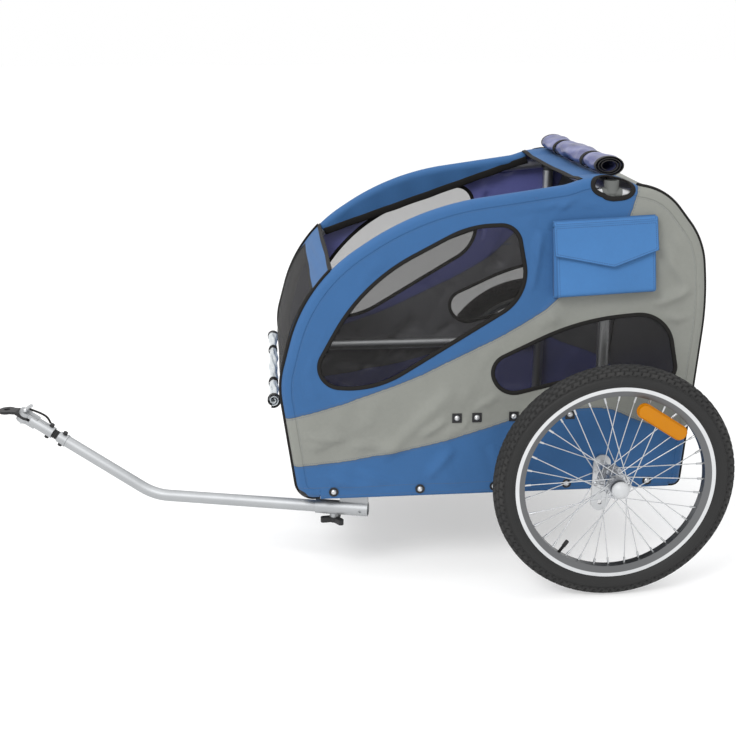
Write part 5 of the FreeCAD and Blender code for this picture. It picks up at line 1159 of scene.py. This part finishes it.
for side, tag in SIDES:
    x = AXLE_X + radius * np.cos(tread_turn)[None]
    z = TYRE_RADIUS + radius * np.sin(tread_turn)[None]
    points = np.stack([x, side * TRACK_HALF + across, z], -1).reshape(-1, 3)
    centre = np.array([AXLE_X, side * TRACK_HALF, TYRE_RADIUS])
    faces = outward_faces(points - centre, grid_faces(*radius.shape, True, True))
    tyre = rubber_piece("tyre_rubber_" + tag, points, faces, tread_value.ravel())
    stem, faces = turned(centre, valve_out, valve_over, ACROSS, STEM_PLACE, STEM_RADIUS, 24)
    valve = rubber_piece("valve_" + tag, stem, faces, np.zeros(len(stem)))
    fitted(tyre, "tyre", "tyre_" + tag, body="wheel_" + tag)
    fitted(valve, "tyre", body="wheel_" + tag)
    for material, piece in (
        (rim_finish, "rim_"), (polished_finish, "hub_"), (tube_finish, "axle_bracket_"),
        (steel_finish, "spokes_"), (amber_finish, "spoke_reflector_"), (button_finish, "release_button_"),
    ):
        coat(material, piece + tag)

# Tow bar and coupler: a bent aluminium tube in a clamped receiver, then a ribbed rubber
# link, an aluminium tongue and a black steel hitch on a pulled pin with its strap.

# Painted shade: the tow bar, receiver and tongue take a darker, rougher copy of the tube aluminium.
shaded_tube_finish = finish("tube_painted_shade", drawn((0.36, 0.37, 0.38), (0.44, 0.45, 0.46), 0.52, 0.12), Metallic=1.0)
coat(shaded_tube_finish, "tow_receiver", "tow_tube", "tongue")
coat(black_nylon, "clamp_knob", "tow_bolt", "tongue_bolt", "hitch_plate")
LINK_START = np.array([-0.64297, -0.11405, 0.28800])
LINK_ALONG = np.array([-0.837678, 0.219761, 0.500000])
LINK_ACROSS = np.array([-0.253758, -0.967268, 0.0])
LINK_UP = np.array([0.483634, -0.126879, 0.866025])
LINK_LENGTH, LINK_LAP, LINK_NECK = 0.014, 0.003, 0.0088
run = np.linspace(-LINK_LAP, LINK_LENGTH + LINK_LAP, 90)
ribs = 0.0090 + 0.0014 * eased(np.sin((run - 0.0003) / LINK_LENGTH * 6 * np.pi), -0.3, 0.5)
ribs = np.where((run < 0) | (run > LINK_LENGTH), LINK_NECK, ribs)
points, faces = turned(
    LINK_START, LINK_ALONG, LINK_ACROSS, LINK_UP, np.r_[run[0], run, run[-1]], np.r_[0, ribs, 0], 48,
)
link = rubber_piece("rubber_link", points, faces, np.zeros(len(points)))
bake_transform(link)
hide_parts("flex_link")
STRAP_ROUTE = (
    (-0.70251, -0.09843, 0.34779), (-0.69220, -0.10114, 0.34433), (-0.67939, -0.10450, 0.33988),
    (-0.66765, -0.10758, 0.33376), (-0.66152, -0.10919, 0.32573), (-0.65896, -0.10986, 0.31798),
)
STRAP_RADIUS = 0.0021
line = bpy.data.curves.new("strap_route", "CURVE")
line.dimensions = "3D"
line.resolution_u = 24
spline = line.splines.new("NURBS")
spline.points.add(len(STRAP_ROUTE) - 1)
spline.points.foreach_set("co", np.hstack([STRAP_ROUTE, np.ones((len(STRAP_ROUTE), 1))]).ravel())
spline.order_u = 3
spline.use_endpoint_u = True
holder = bpy.data.objects.new("strap_route", line)
read = bpy.data.meshes.new_from_object(holder)
route = np.empty(len(read.vertices) * 3)
read.vertices.foreach_get("co", route)
route = route.reshape(-1, 3)
bpy.data.meshes.remove(read)
bpy.data.objects.remove(holder)
bpy.data.curves.remove(line)
out = unit(np.cross(LINK_ACROSS, unit(np.gradient(route, axis=0))))
strap = build("pin_lanyard", *ribbon(route, LINK_ACROSS, out, STRAP_RADIUS, STRAP_RADIUS))
strap.data.materials.append(tape_finish)
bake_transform(strap)
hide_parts("pin_strap")

# Stage: a pale seamless floor, a white surround and three large soft lamps, with the
# camera where the photograph was taken from.

FLOOR_HALF, FLOOR_HEIGHT = 30.0, -0.0005
corners = [(x * FLOOR_HALF, y * FLOOR_HALF, FLOOR_HEIGHT) for x, y in ((-1, -1), (1, -1), (1, 1), (-1, 1))]
floor = build("studio_floor", np.array(corners), np.array([[0, 1, 2, 3]]))
floor.data.materials.append(finish("studio_white", lambda shade: {
    "Base Color": shade.blend(shade.noise(0.6), (0.58, 0.58, 0.58, 1), (0.60, 0.60, 0.60, 1)),
}, Roughness=0.8, Specular_IOR_Level=0.1, Emission_Color=(1, 1, 1, 1), Emission_Strength=0.42))
world = bpy.context.scene.world or bpy.data.worlds.new("studio")
bpy.context.scene.world = world
world.use_nodes = True
world.node_tree.nodes["Background"].inputs["Color"].default_value = (1, 1, 1, 1)
world.node_tree.nodes["Background"].inputs["Strength"].default_value = 1.0
LAMPS = (
    ("key", (-1.8, -2.8, 3.4), (0.1, 0.0, 0.4), 110.0, 1.6),
    ("fill", (2.8, -1.8, 2.0), (0.2, 0.0, 0.4), 8.0, 2.5),
    ("top", (0.0, 0.6, 3.6), (0.0, 0.0, 0.3), 30.0, 2.5),
)
for name, place, target, power, size in LAMPS:
    lamp = bpy.data.lights.new(name, "AREA")
    lamp.energy = power
    lamp.size = size
    holder = bpy.data.objects.new(name, lamp)
    away = unit(np.array(place) - np.array(target))
    right = unit(np.cross([0, 0, 1], away))
    axes = np.stack([right, np.cross(away, right), away], 1)
    holder.matrix_world = Matrix.LocRotScale(place, Matrix(axes.tolist()).to_quaternion(), None)
    bpy.context.scene.collection.objects.link(holder)
YAW, PITCH, ROLL = 0.0849597, 0.3045664, 0.0032493
CAMERA_PLACE = (-0.1583667, -2.4237167, 1.1533915)
FOCAL_PIXELS, PICTURE_PIXELS, SENSOR = 1100.583, 736, 36.0
ahead = np.array([np.sin(YAW) * np.cos(PITCH), np.cos(YAW) * np.cos(PITCH), -np.sin(PITCH)])
level = np.array([np.cos(YAW), -np.sin(YAW), 0.0])
down = np.cross(ahead, level)
right = level * np.cos(ROLL) + down * np.sin(ROLL)
down = down * np.cos(ROLL) - level * np.sin(ROLL)
optics = bpy.data.cameras.new("photo_camera")
optics.sensor_width = SENSOR
optics.lens = FOCAL_PIXELS / PICTURE_PIXELS * SENSOR
camera = bpy.data.objects.new("photo_camera", optics)
turn = Matrix(np.stack([right, -down, -ahead], 1).tolist())
camera.matrix_world = Matrix.LocRotScale(CAMERA_PLACE, turn.to_quaternion(), None)
bpy.context.scene.collection.objects.link(camera)
bpy.context.scene.camera = camera
bpy.context.scene.view_settings.view_transform = "Standard"
